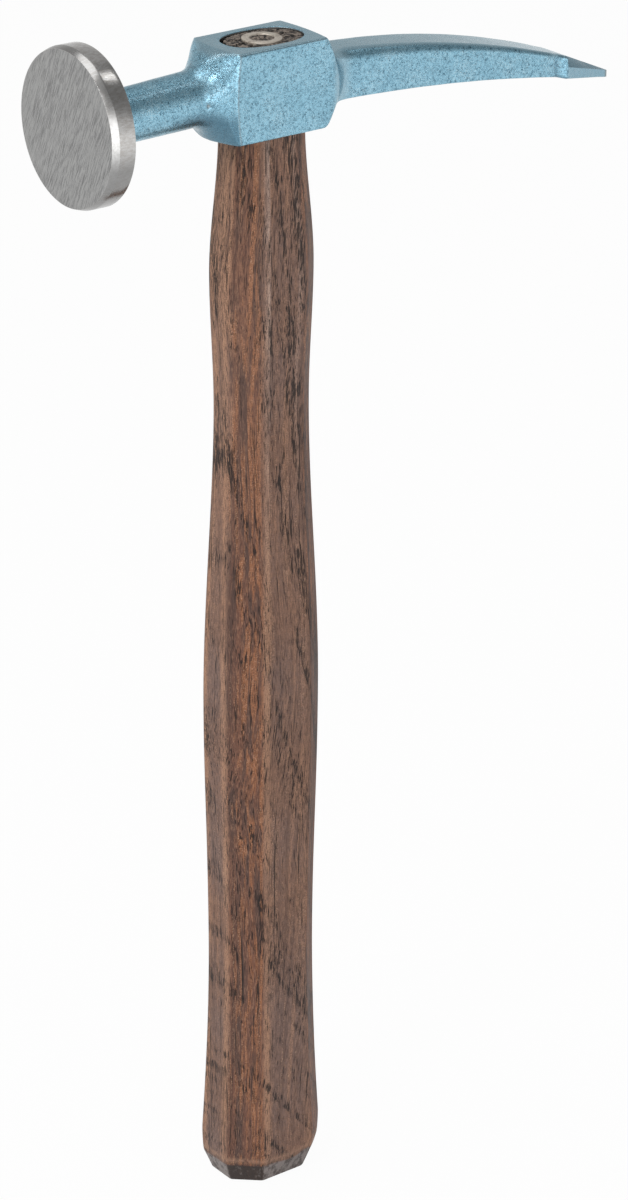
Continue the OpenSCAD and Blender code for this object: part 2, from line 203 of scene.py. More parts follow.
def noise(tree, vector, scale, detail=2.0, roughness=0.5, distortion=0.0, output="Fac"):
    labels = ["Vector", "Scale", "Detail", "Roughness", "Distortion"]
    sockets = dict(zip(labels, [vector, scale, detail, roughness, distortion]))
    return addNode(tree, "ShaderNodeTexNoise", sockets).outputs[output]


def calc(tree, operation, a, b=0.0):
    return addNode(tree, "ShaderNodeMath", {0: a, 1: b}, operation=operation).outputs[0]


def times(tree, a, b):
    return calc(tree, "MULTIPLY", a, b)


def vectorCalc(tree, operation, a, b, output=0):
    return addNode(tree, "ShaderNodeVectorMath", {0: a, 1: b}, operation=operation).outputs[output]


def window(tree, value, low, high, outLow=0.0, outHigh=1.0):  # eased ramp from low to high
    sockets = {"Value": value, "From Min": low, "From Max": high, "To Min": outLow, "To Max": outHigh}
    return addNode(tree, "ShaderNodeMapRange", sockets, interpolation_type="SMOOTHSTEP").outputs["Result"]


def mix(tree, share, a, b):  # number a where the share is 0 and b where it is 1
    return addNode(tree, "ShaderNodeMix", {0: share, 2: a, 3: b}, data_type="FLOAT").outputs[0]


def tint(tree, mask, a, b):  # colour a where the mask is 0 and b where it is 1
    return addNode(tree, "ShaderNodeMix", {0: mask, 6: a, 7: b}, data_type="RGBA").outputs[2]


def layered(tree, colour, layers):  # colours laid over the first one in turn, each by its own mask
    for mask, over in layers:
        colour = tint(tree, mask, colour, over)
    return colour


def stretch(tree, vector, scale, turn=(0, 0, 0), move=(0, 0, 0)):
    sockets = {"Vector": vector, "Scale": scale, "Rotation": turn, "Location": move}
    return addNode(tree, "ShaderNodeMapping", sockets, vector_type="POINT").outputs["Vector"]


def mark(tree, name):
    return addNode(tree, "ShaderNodeAttribute", attribute_name=name).outputs["Fac"]


def newGroup(name, inputs, outputs):
    tree = bpy.data.node_groups.new(name, "ShaderNodeTree")
    for label, kind, value in inputs:
        socket = tree.interface.new_socket(name=label, in_out="INPUT", socket_type=kind)
        if value is not None:
            socket.default_value = value
    for label, kind in outputs:
        tree.interface.new_socket(name=label, in_out="OUTPUT", socket_type=kind)
    return tree, tree.nodes.new("NodeGroupInput").outputs, tree.nodes.new("NodeGroupOutput").inputs


def newMaterial(name):
    material = bpy.data.materials.new(name)
    material.use_nodes = True
    tree = material.node_tree
    shader = tree.nodes["Principled BSDF"]
    place = tree.nodes.new("ShaderNodeTexCoord").outputs["Object"]
    return material, tree, shader, place


def feed(tree, shader, values):
    for label, value in values.items():
        tree.links.new(value, shader.inputs[label])


def bump(tree, shader, height, distance, strength=1.0):
    sockets = {"Height": height, "Distance": distance, "Strength": strength}
    feed(tree, shader, {"Normal": addNode(tree, "ShaderNodeBump", sockets).outputs["Normal"]})


# Effects that more than one material uses
floatSocket, vectorSocket = "NodeSocketFloat", "NodeSocketVector"


def buildStrokes():
    # Fine lines that run along the third axis: noise squeezed across it and drawn out along it,
    # cut off at a threshold, with a second, coarser set so that the lines come in clusters.
    numbers = {"Across": 2000.0, "Along": 80.0, "Cut": 0.5, "Soft": 0.1, "Cluster": 0.3, "Lift": 0.0}
    inputs = [("Vector", vectorSocket, None)] + [(key, floatSocket, v) for key, v in numbers.items()]
    tree, given, out = newGroup("strokes", inputs, [("Mask", floatSocket), ("Grain", floatSocket)])
    scales = {0: given["Across"], 1: given["Across"], 2: given["Along"]}
    squeeze = addNode(tree, "ShaderNodeCombineXYZ", scales).outputs[0]
    drawn = vectorCalc(tree, "MULTIPLY", given["Vector"], squeeze)
    fine = noise(tree, drawn, 1.0, 2.5, 0.55, 0.25)
    groups = noise(tree, drawn, 0.22, 1.0, 0.5)
    lift = times(tree, calc(tree, "SUBTRACT", groups, 0.5), given["Cluster"])
    level = calc(tree, "ADD", calc(tree, "ADD", fine, lift), given["Lift"])
    top = calc(tree, "ADD", given["Cut"], given["Soft"])
    tree.links.new(window(tree, level, given["Cut"], top), out["Mask"])
    tree.links.new(fine, out["Grain"])
    return tree


def buildMottle():
    # Uneven tone: a broad noise and a fine noise, blended by a share and centred on 0.5.
    inputs = [("Vector", vectorSocket, None), ("Broad", floatSocket, 60.0), ("Fine", floatSocket, 900.0),
              ("Share", floatSocket, 0.5)]
    tree, given, out = newGroup("mottle", inputs, [("Value", floatSocket)])
    broad = noise(tree, given["Vector"], given["Broad"], 2.0, 0.5)
    fine = noise(tree, given["Vector"], given["Fine"], 3.0, 0.65)
    tree.links.new(mix(tree, given["Share"], broad, fine), out["Value"])
    return tree


strokes, mottle = buildStrokes(), buildMottle()


def stroked(tree, vector, across, along, cut, soft, cluster, lift=0.0):
    # The strokes effect: lines per metre across and along, threshold and its softness, clustering, lift
    labels = ["Vector", "Across", "Along", "Cut", "Soft", "Cluster", "Lift"]
    sockets = dict(zip(labels, [vector, across, along, cut, soft, cluster, lift]))
    return addNode(tree, "ShaderNodeGroup", sockets, node_tree=strokes).outputs


def mottled(tree, vector, broad, fine, share):
    # The mottle effect: spots per metre of the broad and the fine noise, and the fine noise's share
    sockets = {"Vector": vector, "Broad": broad, "Fine": fine, "Share": share}
    return addNode(tree, "ShaderNodeGroup", sockets, node_tree=mottle).outputs["Value"]


# Camera, standing where the photograph was taken
camera = {
    "place": (-0.566195, -0.765583, 0.588256), "heading": 0.65124244, "down": 0.41485832, "roll": 0.00716864,
    "lens": 120.0, "sensor": 36.0,
}


def addCamera(c):  # heading is measured from +Y towards +X, down from level, and roll about the view
    a, p, r = c["heading"], c["down"], c["roll"]
    ahead = np.array([math.sin(a) * math.cos(p), math.cos(a) * math.cos(p), -math.sin(p)])
    level = np.array([math.cos(a), -math.sin(a), 0])
    above = np.cross(level, ahead)
    right = math.cos(r) * level + math.sin(r) * above
    up = -math.sin(r) * level + math.cos(r) * above
    data = bpy.data.cameras.new("camera")
    data.lens, data.sensor_width, data.clip_start, data.clip_end = c["lens"], c["sensor"], 0.01, 100
    item = putIn("camera", data)
    turn = np.eye(4)
    turn[:3, 0], turn[:3, 1], turn[:3, 2], turn[:3, 3] = right, up, -ahead, c["place"]
    item.matrix_world = Matrix(turn.tolist())
    bpy.context.scene.camera = item


addCamera(camera)

# Studio: a pale floor, soft lamps, and a dim room that is paler towards the horizon
studio = {
    # floorKeep is the share of the floor that the camera sees as plain white
    "floorColour": (0.9, 0.9, 0.9, 1), "floorKeep": 0.96, "floorReach": 30, "floorDrop": 0.0001,
    "roomLevels": [(0.0, 0.66), (0.3, 0.58), (0.6, 0.4), (0.72, 0.38), (0.85, 0.38), (1.0, 0.5)],
    # a dark patch of room: its direction, the cosines at its edge and inside it, and how dark it is
    "shadeToward": (0.66, -0.33, 0.67), "shadeCosines": (0.77, 0.87), "shadeDepth": 0.52,
    "lamps": [  # name, place, aim, width, height, watts
        ("keyLamp", (-0.79, -0.32, 1.24), (0, 0, 0.30), 0.2, 0.2, 2.2),
        ("glintLamp", (-0.68, 0.68, 1.15), (0, 0, 0.30), 0.14, 0.14, 0.4),
        ("frontLamp", (-0.22, -1.30, 0.34), (0, 0, 0.24), 1.2, 0.9, 5.0),
        ("topLamp", (-0.10, 0.20, 1.45), (0, 0, 0.2), 1.0, 0.7, 3.2),
        ("leftLamp", (-1.75, 0.15, 0.50), (0, 0, 0.22), 1.4, 1.3, 10.0),
        ("fillLamp", (-0.85, -0.9, 1.40), (0, 0, 0.30), 0.9, 0.8, 1.7),
        ("streakLamp", (0.54, -0.15, 1.22), (-0.05, 0, 0.31), 0.16, 0.22, 0.26),
    ],
}


def addStudio(s):
    bpy.context.scene.view_settings.view_transform = "Standard"
    world = bpy.data.worlds.new("room")
    world.use_nodes = True
    tree = world.node_tree
    tree.nodes.clear()
    toward = tree.nodes.new("ShaderNodeTexCoord").outputs["Generated"]
    height = addNode(tree, "ShaderNodeSeparateXYZ", {0: toward}).outputs["Z"]
    ramp = addNode(tree, "ShaderNodeValToRGB", {0: height})
    while len(ramp.color_ramp.elements) < len(s["roomLevels"]):
        ramp.color_ramp.elements.new(0.5)
    for element, (place, level) in zip(ramp.color_ramp.elements, s["roomLevels"]):
        element.position, element.color = place, (level, level, level, 1)
    facing = vectorCalc(tree, "DOT_PRODUCT", toward, Vector(s["shadeToward"]).normalized(), "Value")
    strength = window(tree, facing, *s["shadeCosines"], 1.0, 1 - s["shadeDepth"])
    sky = addNode(tree, "ShaderNodeBackground", {"Color": ramp.outputs["Color"], "Strength": strength})
    addNode(tree, "ShaderNodeOutputWorld", {"Surface": sky.outputs[0]})
    bpy.context.scene.world = world
    for name, place, aim, width, height, watts in s["lamps"]:
        data = bpy.data.lights.new(name, "AREA")
        data.shape, data.size, data.size_y, data.energy = "RECTANGLE", width, height, watts
        lamp = putIn(name, data)
        lamp.location = place
        lamp.rotation_euler = (Vector(aim) - Vector(place)).to_track_quat("-Z", "Y").to_euler()
        lamp.visible_camera = False
    material = bpy.data.materials.new("paleFloor")
    material.use_nodes = True
    tree = material.node_tree
    tree.nodes.clear()
    rays = tree.nodes.new("ShaderNodeLightPath").outputs
    seen = calc(tree, "MAXIMUM", rays["Is Camera Ray"], rays["Is Glossy Ray"])
    seen = calc(tree, "MAXIMUM", seen, rays["Is Transmission Ray"])
    matte = addNode(tree, "ShaderNodeBsdfDiffuse", {"Color": s["floorColour"]}).outputs[0]
    white = addNode(tree, "ShaderNodeEmission", {"Color": (1, 1, 1, 1), "Strength": 1.0}).outputs[0]
    keep = times(tree, seen, s["floorKeep"])
    both = addNode(tree, "ShaderNodeMixShader", {0: keep, 1: matte, 2: white})
    addNode(tree, "ShaderNodeOutputMaterial", {"Surface": both.outputs[0]})
    corners = np.array([(-1, -1, 0), (1, -1, 0), (1, 1, 0), (-1, 1, 0)]) * s["floorReach"]
    mesh = bpy.data.meshes.new("floor")
    mesh.from_pydata(corners.tolist(), [], [(0, 1, 2, 3)])
    mesh.materials.append(material)
    floor = putIn("floor", mesh)
    floor.location.z = -s["floorDrop"]


addStudio(studio)
print("camera, lamps and floor ready")

# Blue hammertone paint: light cells between fine dark veins, under a thin gloss
paint = {
    "cell": (0.28, 0.54, 0.685, 1), "pale": (0.52, 0.75, 0.85, 1), "vein": (0.032, 0.11, 0.17, 1),
    # the dark blue on the next line is painted shade, for under and inside the flare, the point, its collar
    # and the eye's wall
    "paintedShade": (0.06, 0.15, 0.215, 1), "worn": (0.16, 0.14, 0.12, 1),
    "smooth": (0.37, 0.455, 0.495, 1),  # where the paint lies thin and even; on the tops and round the pick's root this greyer colour is a painted reflection
    "curls": [(1250.0, 0.06, 0.94), (2100.0, 0.058, 0.88)],  # noise per metre, line width, strength
    "mottle": (140.0, 3200.0, 0.75), "metal": 0.85, "rough": 0.23, "gloss": 0.55, "glossRough": 0.2,
    "edge": (0.55, 0.68, 0.72, 1),
    # how much of its colour each mark brings, how much of the veins stays on calm paint, and the relief
    "evenPaintAndSheenShare": 0.42, "paintedShadeShare": 0.85, "calmVeins": 0.3, "relief": 0.00012,
}


def makePaint(p):
    material, tree, shader, place = newMaterial("blueHammertone")
    evenPaintAndSheen = mark(tree, "evenPaintAndSheen")
    vein = 0.0
    for scale, width, strength in p["curls"]:  # curly lines where a noise passes its middle value
        level = noise(tree, place, scale, 1.0, 0.5, 0.9)
        away = calc(tree, "ABSOLUTE", calc(tree, "SUBTRACT", level, 0.5))
        gaps = window(tree, noise(tree, place, scale * 0.7, 1.0), 0.38, 0.58)
        line = times(tree, window(tree, away, 0.0, width, strength, 0.0), gaps)
        vein = calc(tree, "MAXIMUM", line, vein)
    vein = times(tree, vein, window(tree, evenPaintAndSheen, 0.0, 1.0, 1.0, p["calmVeins"]))
    tone = mottled(tree, place, *p["mottle"])
    colour = layered(tree, p["cell"], [
        (window(tree, tone, 0.5, 0.68), p["pale"]),
        (window(tree, tone, 0.46, 0.34, 0.0, 0.4), p["vein"]),
        (vein, p["vein"]),
        # painted reflection: the greyer even tone on the tops and round the pick's root; on the point it is
        # thin, even paint
        (times(tree, evenPaintAndSheen, p["evenPaintAndSheenShare"]), p["smooth"]),
        # painted shade: the dark blue where the shade mark is set
        (times(tree, mark(tree, "paintedShade"), p["paintedShadeShare"]), p["paintedShade"]),
        (mark(tree, "worn"), p["worn"]),
    ])
    rough = window(tree, tone, 0.35, 0.65, p["rough"] - 0.06, p["rough"] + 0.1)
    feed(tree, shader, {"Base Color": colour, "Roughness": rough})
    bump(tree, shader, calc(tree, "SUBTRACT", tone, times(tree, vein, 0.4)), p["relief"], 0.5)
    shader.inputs["Metallic"].default_value = p["metal"]
    shader.inputs["Coat Weight"].default_value = p["gloss"]
    shader.inputs["Coat Roughness"].default_value = p["glossRough"]
    shader.inputs["Specular Tint"].default_value = p["edge"]
    return material


# Ground steel of the striking face: slanting brush lines on the face, a mottled bevel, short marks across the
# rim. The bevel's light colour is a painted highlight, and the darker lower rim and bevel top are painted
# shade.
faceSteel = {
    "light": (0.37, 0.37, 0.365, 1), "dark": (0.19, 0.19, 0.19, 1), "scratch": (0.55, 0.55, 0.55, 1),
    # the bevel colour on the next line is a painted highlight
    "rimLight": (0.64, 0.635, 0.625, 1), "rimDark": (0.52, 0.5, 0.48, 1), "bevel": (0.76, 0.76, 0.75, 1),
    "brushTilt": -0.42, "rough": 0.4, "rimRough": 0.22, "bevelRough": 0.44,
    # lines per metre across and along, threshold, softness, clustering
    "brush": (8200.0, 330.0, 0.42, 0.13, 0.16), "scratches": (2600.0, 60.0, 0.66, 0.05, 0.2),
    "mottle": (70.0, 2600.0, 0.45), "rimMarks": (1500, 500, 1),
    "scratchShare": 0.35, "paintedRimShadeShare": 0.75, "relief": 0.00003,
}


def makeFaceSteel(p):
    material, tree, shader, place = newMaterial("groundSteel")
    turned = stretch(tree, place, (1, 1, 1), (p["brushTilt"], 0, 0))
    flat = stroked(tree, turned, *p["brush"])
    scratch = stroked(tree, turned, *p["scratches"])["Mask"]
    tone = mottled(tree, place, *p["mottle"])
    wrap = addNode(tree, "ShaderNodeUVMap", uv_map="wrap").outputs[0]
    across = noise(tree, stretch(tree, wrap, p["rimMarks"]), 1.0, 3.0, 0.65)
    edge, onBevel = mark(tree, "rim"), mark(tree, "bevel")
    faceColour = layered(tree, p["dark"], [
        (flat["Mask"], p["light"]),
        (window(tree, tone, 0.42, 0.62, 0.0, 0.6), p["light"]),
        (times(tree, scratch, p["scratchShare"]), p["scratch"]),
    ])
    ground = window(tree, noise(tree, place, 1500.0, 3.0, 0.6), 0.35, 0.6)
    # painted highlight on the bevel, and painted shade on the rim's lower part and the bevel's top
    rimColour = layered(tree, p["rimDark"], [
        (window(tree, across, 0.35, 0.65), p["rimLight"]),
        (onBevel, tint(tree, ground, p["rimLight"], p["bevel"])),
        (times(tree, mark(tree, "paintedRimShade"), p["paintedRimShadeShare"]), p["dark"]),
    ])
    faceRough = window(tree, tone, 0.3, 0.7, p["rough"] - 0.06, p["rough"] + 0.06)
    edgeRough = window(tree, onBevel, 0.0, 1.0, p["rimRough"], p["bevelRough"])
    feed(tree, shader, {"Base Color": tint(tree, edge, faceColour, rimColour),
                        "Roughness": mix(tree, edge, faceRough, edgeRough)})
    bump(tree, shader, mix(tree, edge, flat["Grain"], across), p["relief"], 0.4)
    shader.inputs["Metallic"].default_value = 1.0
    return material


# Cut steel of the round wedge: pale, warm, hammered a little
wedgeSteel = {
    "light": (0.66, 0.6, 0.52, 1), "dark": (0.36, 0.31, 0.26, 1), "rough": 0.45, "metal": 0.75,
    "mottle": (350.0, 2400.0, 0.5), "turning": (60, 5000, 1), "relief": 0.00005,
}


def makeWedgeSteel(p):
    material, tree, shader, place = newMaterial("cutSteel")
    tone = mottled(tree, place, *p["mottle"])
    wrap = addNode(tree, "ShaderNodeUVMap", uv_map="wrap").outputs[0]
    turning = noise(tree, stretch(tree, wrap, p["turning"]), 1.0, 2.0)
    colour = layered(tree, p["dark"], [
        (window(tree, tone, 0.36, 0.5), p["light"]),
        (window(tree, turning, 0.3, 0.7, 0.0, 0.35), p["dark"]),
    ])
    rough = window(tree, tone, 0.3, 0.7, p["rough"] + 0.12, p["rough"] - 0.08)
    feed(tree, shader, {"Base Color": colour, "Roughness": rough})
    bump(tree, shader, calc(tree, "ADD", tone, turning), p["relief"], 0.6)
    shader.inputs["Metallic"].default_value = p["metal"]
    return material


# Dark oiled hickory: bands, long open pores, paler worn ridges and dark end grain. The broad flats are greyer
# and the slanting flats redder, partly as painted sheen; a painted shadow line runs inside each ridge, and
# the pale specks in the eye's end grain are painted glints.
hickory = {
    "brown": (0.225, 0.126, 0.088, 1), "grey": (0.2, 0.128, 0.106, 1), "red": (0.16, 0.068, 0.042, 1),
    "orange": (0.31, 0.115, 0.045, 1), "tan": (0.41, 0.225, 0.14, 1), "pale": (0.54, 0.41, 0.35, 1),
    "fleck": (0.52, 0.34, 0.23, 1), "dark": (0.075, 0.042, 0.034, 1), "pore": (0.012, 0.008, 0.007, 1),
    "end": (0.03, 0.021, 0.018, 1), "endPale": (0.24, 0.21, 0.2, 1), "ledge": (0.4, 0.24, 0.16, 1),
    # the eye's pale colour on the next line paints glints on its end grain
    "eyeDark": (0.009, 0.008, 0.007, 1), "eyeGlint": (0.25, 0.205, 0.17, 1),
    "split": (0.005, 0.004, 0.004, 1), "rough": 0.58, "shine": 0.3,
    "lean": 0.12, "leanFade": 0.12,  # how far the growth bands lean near the butt, and where that fades
    # lines per metre across and along, threshold, softness, clustering
    "pores": (4300.0, 290.0, 0.612, 0.03, 0.38), "cracks": (2600.0, 55.0, 0.645, 0.03, 0.35),
    "longs": (700.0, 24.0, 0.52, 0.2, 0.5), "hairs": (4200.0, 420.0, 0.4, 0.3, 0.2),
    "mottle": (28.0, 1300.0, 0.35), "wander": 0.012,  # how far the fibres wander sideways
    "dryFrom": (0.16, 0.27),  # heights over which the wood gets drier and paler towards the head
    "fleckShare": 0.65, "longShare": 0.4, "poreShare": 0.9, "endShare": 0.95, "relief": 0.00012,
}


def makeHickory(p):
    material, tree, shader, place = newMaterial("darkHickory")
    drift = noise(tree, stretch(tree, place, (25, 25, 9)), 1.0, 2.0, output="Color")
    centred = vectorCalc(tree, "SUBTRACT", drift, (0.5, 0.5, 0.5))
    shift = vectorCalc(tree, "MULTIPLY", centred, (p["wander"], p["wander"], 0.0))
    fibre = vectorCalc(tree, "ADD", stretch(tree, place, (1, 1, 1), (0.03, -0.035, 0.35)), shift)
    # growth bands lean over towards the butt: along the head less lean x e to the power -z / fade
    parts = addNode(tree, "ShaderNodeSeparateXYZ", {0: place}).outputs
    power = calc(tree, "POWER", math.e, calc(tree, "DIVIDE", parts["Z"], -p["leanFade"]))
    across = calc(tree, "SUBTRACT", parts["X"], times(tree, power, p["lean"]))
    sheared = addNode(tree, "ShaderNodeCombineXYZ", {0: across, 1: parts["Y"], 2: parts["Z"]}).outputs[0]
    growth = noise(tree, stretch(tree, sheared, (260, 50, 9)), 1.0, 2.0, 0.5, 0.3)
    bands = noise(tree, stretch(tree, fibre, (420, 420, 6)), 1.0, 3.0, 0.6)
    streaks = noise(tree, stretch(tree, fibre, (900, 900, 16), (0, 0, 0), (3, 5, 7)), 1.0, 2.0, 0.55)
    lift = times(tree, calc(tree, "SUBTRACT", growth, 0.5), 0.75)
    pores = stroked(tree, fibre, *p["pores"], lift)["Mask"]
    cracks = stroked(tree, fibre, *p["cracks"])["Mask"]
    longs = stroked(tree, fibre, *p["longs"])["Mask"]
    hairs = stroked(tree, fibre, *p["hairs"])["Grain"]
    tone = mottled(tree, place, *p["mottle"])
    stipple = noise(tree, place, 3000.0, 2.0, 0.6)
    patches = noise(tree, stretch(tree, place, (150, 150, 55)), 1.0, 2.0, 0.6)
    scuffed = noise(tree, stretch(tree, place, (700, 700, 300)), 1.0, 4.0, 0.7)
    facet, endFlat = mark(tree, "facet"), mark(tree, "endFlat")  # the slanting flats, the two end flats
    # the broad flats get a greyer copy of the wood and the slanting flats a redder one: partly the wood's
    # figure, partly painted sheen
    broadSheenCopy = layered(tree, p["grey"], [
        (window(tree, tone, 0.38, 0.62), p["brown"]),
        (window(tree, bands, 0.5, 0.7, 0.0, 0.5), p["tan"]),
    ])
    glow = calc(tree, "ADD", streaks, times(tree, mark(tree, "warmSide"), 0.14))
    slantCopy = layered(tree, p["dark"], [
        (window(tree, bands, 0.38, 0.6), p["red"]),
        (window(tree, glow, 0.54, 0.7, 0.0, 0.85), p["orange"]),
    ])
    high = window(tree, parts["Z"], *p["dryFrom"])  # dry most on the end flats
    dry = times(tree, high, window(tree, endFlat, 0.0, 1.0, 0.18, 0.85))
    inner = times(tree, high, window(tree, endFlat, 0.0, 1.0, 0.7, 0.0))
    ridge = times(tree, mark(tree, "ridge"), window(tree, patches, 0.4, 0.56, 0.45, 1.0))
    # painted shadow: a dark line inside each ridge on the slanting flats
    paintedEdgeShadow = times(tree, mark(tree, "paintedEdgeShadow"), window(tree, streaks, 0.35, 0.6, 0.25, 0.8))
    fleck = times(tree, window(tree, stipple, 0.54, 0.7), window(tree, streaks, 0.48, 0.66))
    hollow = calc(tree, "MAXIMUM", pores, cracks)
    butt = layered(tree, p["endPale"], [
        (window(tree, facet, 0.2, 0.8), p["end"]),
        (window(tree, scuffed, 0.55, 0.38, 0.0, 0.75), p["end"]),
        (window(tree, scuffed, 0.52, 0.68, 0.0, 0.4), p["endPale"]),
    ])
    # painted glints: pale specks on the dark end grain in the eye
    glintSpeck = window(tree, noise(tree, place, 620.0, 4.0, 0.75, 1.2), 0.47, 0.54)
    colour = layered(tree, broadSheenCopy, [
        (window(tree, facet, 0.0, 1.0, 0.06, 0.9), slantCopy),
        (times(tree, dry, window(tree, streaks, 0.3, 0.54)), p["tan"]),
        (ridge, tint(tree, inner, p["tan"], p["pale"])),
        (paintedEdgeShadow, p["dark"]),
        (window(tree, hairs, 0.5, 0.34, 0.0, 0.75), p["dark"]),
        (window(tree, hairs, 0.52, 0.68, 0.0, 0.4), p["tan"]),
        (window(tree, stipple, 0.48, 0.34, 0.0, 0.5), p["dark"]),
        (times(tree, fleck, p["fleckShare"]), p["fleck"]),
        (times(tree, longs, p["longShare"]), p["dark"]),
        (times(tree, hollow, p["poreShare"]), p["pore"]),
        (times(tree, mark(tree, "ledge"), window(tree, scuffed, 0.35, 0.5)), p["ledge"]),
        (times(tree, mark(tree, "endGrain"), p["endShare"]), butt),
        (mark(tree, "eyeGrain"), tint(tree, glintSpeck, p["eyeDark"], p["eyeGlint"])),
        (mark(tree, "split"), p["split"]),
    ])
    rough = window(tree, tone, 0.3, 0.7, p["rough"] - 0.06, p["rough"] + 0.1)
    feed(tree, shader, {"Base Color": colour, "Roughness": rough})
    bump(tree, shader, calc(tree, "SUBTRACT", times(tree, hairs, 0.4), hollow), p["relief"], 0.7)
    shader.inputs["Specular IOR Level"].default_value = p["shine"]
    return material


paintLook, faceLook = makePaint(paint), makeFaceSteel(faceSteel)
wedgeLook, woodLook = makeWedgeSteel(wedgeSteel), makeHickory(hickory)
print("materials ready")

# Painted head: neck, eye block and pick in one skin, with the eye cut through it
head = {
    "faceZ": 306.4, "faceBack": -51.5, "backRise": 0.8, "rimR": 20.0, "backFlatR": 12.1, "paintEdge": 0.5,
    "neckFaceR": 6.6, "neckBlockR": 7.0, "neckZ": 307.5, "faceFillet": 5.0, "blockFillet": 6.5,
    "blockFace": -13.4, "blockPick": 13.0, "halfW": 10.0, "low": 296.5, "top": 319.5, "endAngle": 51.0,
    "faceSideBulge": 1.0, "faceLevelBulge": 0.9, "pickSideBulge": 2.9, "pickLevelBulge": 0.8, "edgeR": 0.5,
    "sideRun": 10.1, "sideEase": 1.35, "flareSoft": 3.0, "endSoft": 1.2, "softRun": 2.0, "bulgeRun": 3.0,
    "pickReach": 112.6, "pickW": 14.0, "pickMid": 56.0, "pickSideR": 780.0,
    "topR": 268.0, "topCrestX": 8.0, "topCrestZ": 314.3, "lowR": 422.0, "lowCrestX": 18.2, "lowCrestZ": 301.4,
    "edgeRoot": 3.2, "edgeEnd": 1.0, "edgeLow": 0.6,
    "rootL": 11.0, "rootTopAngle": 65.0, "rootLowAngle": 49.0, "rootSideAngle": 31.0, "rootSoft": 2.4,
    "pointL": 18.0, "pointW": 11.8, "tipH": 1.9, "tipW": 0.7, "tipBevelW": 1.9, "tipBevelL": 1.0,
    "tipZ": 292.1, "flankH": 3.2, "pointTopW": 7.6,
    "grooveD": 0.8, "grooveL": 6.6, "grooveLate": 1.2, "collarDrop": 0.5, "collarEdge": 0.5,
    "cornerSteps": 16, "sideSteps": 16, "forgeDepth": 0.05, "flareDepth": 0.05,
    # thick spots of paint on the flare: place, height and reach
    "pads": [(-18.6, -5.8, 313.7, 0.17, 1.5), (-17.8, -2.2, 316.5, 0.1, 1.4)],
    "chipAt": (-21.2, -7.3, 307.4), "chipDepth": 0.45, "chipReach": 0.55,
}
# The eye: half length, half width, how much narrower it is at the underside, the oval's power, the radius at
# both ends, and how far from the wood's oval its wall takes painted shade
eye = {"halfL": 11.1, "halfW": 7.2, "narrow": 0.45, "power": 2.4, "edge": 0.3, "dark": 0.32,
       "around": 128}


def sections(x, w, lo, hi, cutW, cutH, cutLow, power=1.0, sideBulge=0.0, levelBulge=0.0):
    # One row of ten numbers for each place along the head: the place, half width, underside, top, width
    # and height of the upper corners, size of the lower ones, their power, and the bulges along the head
    values = [x, w, lo, hi, cutW, cutH, cutLow, power, sideBulge, levelBulge]
    return np.stack([np.broadcast_to(np.asarray(v, float), np.shape(x)) for v in values], -1)


def discBack(h):  # circles of paint on the back of the striking face, from just inside its rim to the neck
    edge = h["rimR"] - h["paintEdge"]
    r = np.array([edge - 0.15, edge, edge - 0.08, 18.5, 17.0, 15.5, 14.0, 13.0, h["backFlatR"]])
    cone = h["faceBack"] + h["backRise"] * (h["rimR"] - r) / (h["rimR"] - h["backFlatR"])
    x = cone + np.array([-0.5, -0.02, 0.05, 0.06, 0.06, 0.06, 0.06, 0.06, 0.03])
    return sections(x, r, h["faceZ"] - r, h["faceZ"] + r, r, r, r)


def flareEnd(h):  # a cone from the block's corners meets the neck, then runs on by its fillet's tangent
    tangent = h["blockFillet"] * math.tan(math.radians(h["endAngle"] / 2))
    cornerR = math.hypot(h["halfW"], (h["top"] - h["low"]) / 2)
    meet = (cornerR - h["neckBlockR"]) / math.tan(math.radians(h["endAngle"]))
    return cornerR, meet - tangent * math.cos(math.radians(h["endAngle"])), meet + tangent


def neck(h, x):  # circles that grow from the face to the block, with a fillet at the face
    t = (x - h["faceBack"]) / (h["blockFace"] - flareEnd(h)[2] - h["faceBack"])
    d = np.clip(x - h["faceBack"] - h["backRise"], 0, h["faceFillet"])
    fillet = h["faceFillet"] - np.sqrt(h["faceFillet"] ** 2 - (h["faceFillet"] - d) ** 2)
    r = blend(h["neckFaceR"], h["neckBlockR"], t) + fillet
    z = blend(h["faceZ"], h["neckZ"], t)
    return sections(x, r, z - r, z + r, r, r, r)


def trim(a, b, r):  # radius of a round corner that trims the corner at (a, b) to a distance r from the axis
    s = a + b - r
    return np.where(a * a + b * b <= r * r, 0, s - np.sqrt(np.maximum(s * s - (a * a + b * b - r * r), 0)))


def flare(h, x):  # the block's face end: a trumpet shape held between the block's top, underside and sides
    d = h["blockFace"] - x
    cornerR, turn, end = flareEnd(h)
    arc = h["neckBlockR"] + h["blockFillet"] - np.sqrt(np.maximum(h["blockFillet"] ** 2 - (end - d) ** 2, 0))
    r = np.where(d < turn, cornerR - d * math.tan(math.radians(h["endAngle"])), arc)
    drawn = 1 - (1 - np.clip(d / h["sideRun"], 0, 1)) ** h["sideEase"]
    w = np.minimum(blend(h["halfW"], h["neckBlockR"], drawn), r)
    lo, hi = np.maximum(h["low"], h["neckZ"] - r), -softMax(-h["top"], -h["neckZ"] - r, h["flareSoft"])
    topCut = np.maximum(trim(w, hi - h["neckZ"], r), h["edgeR"])
    lowCut = np.maximum(trim(w, h["neckZ"] - lo, r), h["edgeR"])
    fade = smoothStep(1 - d / h["bulgeRun"])
    return sections(x, w, lo, hi, topCut, topCut, lowCut, 1.0, -h["faceSideBulge"] * fade,
                    -h["faceLevelBulge"] * fade)


def arcTop(x, crestX, crestZ, r):  # height of a circle of radius r whose crest is at (crestX, crestZ)
    return crestZ - r + np.sqrt(r * r - (x - crestX) ** 2)


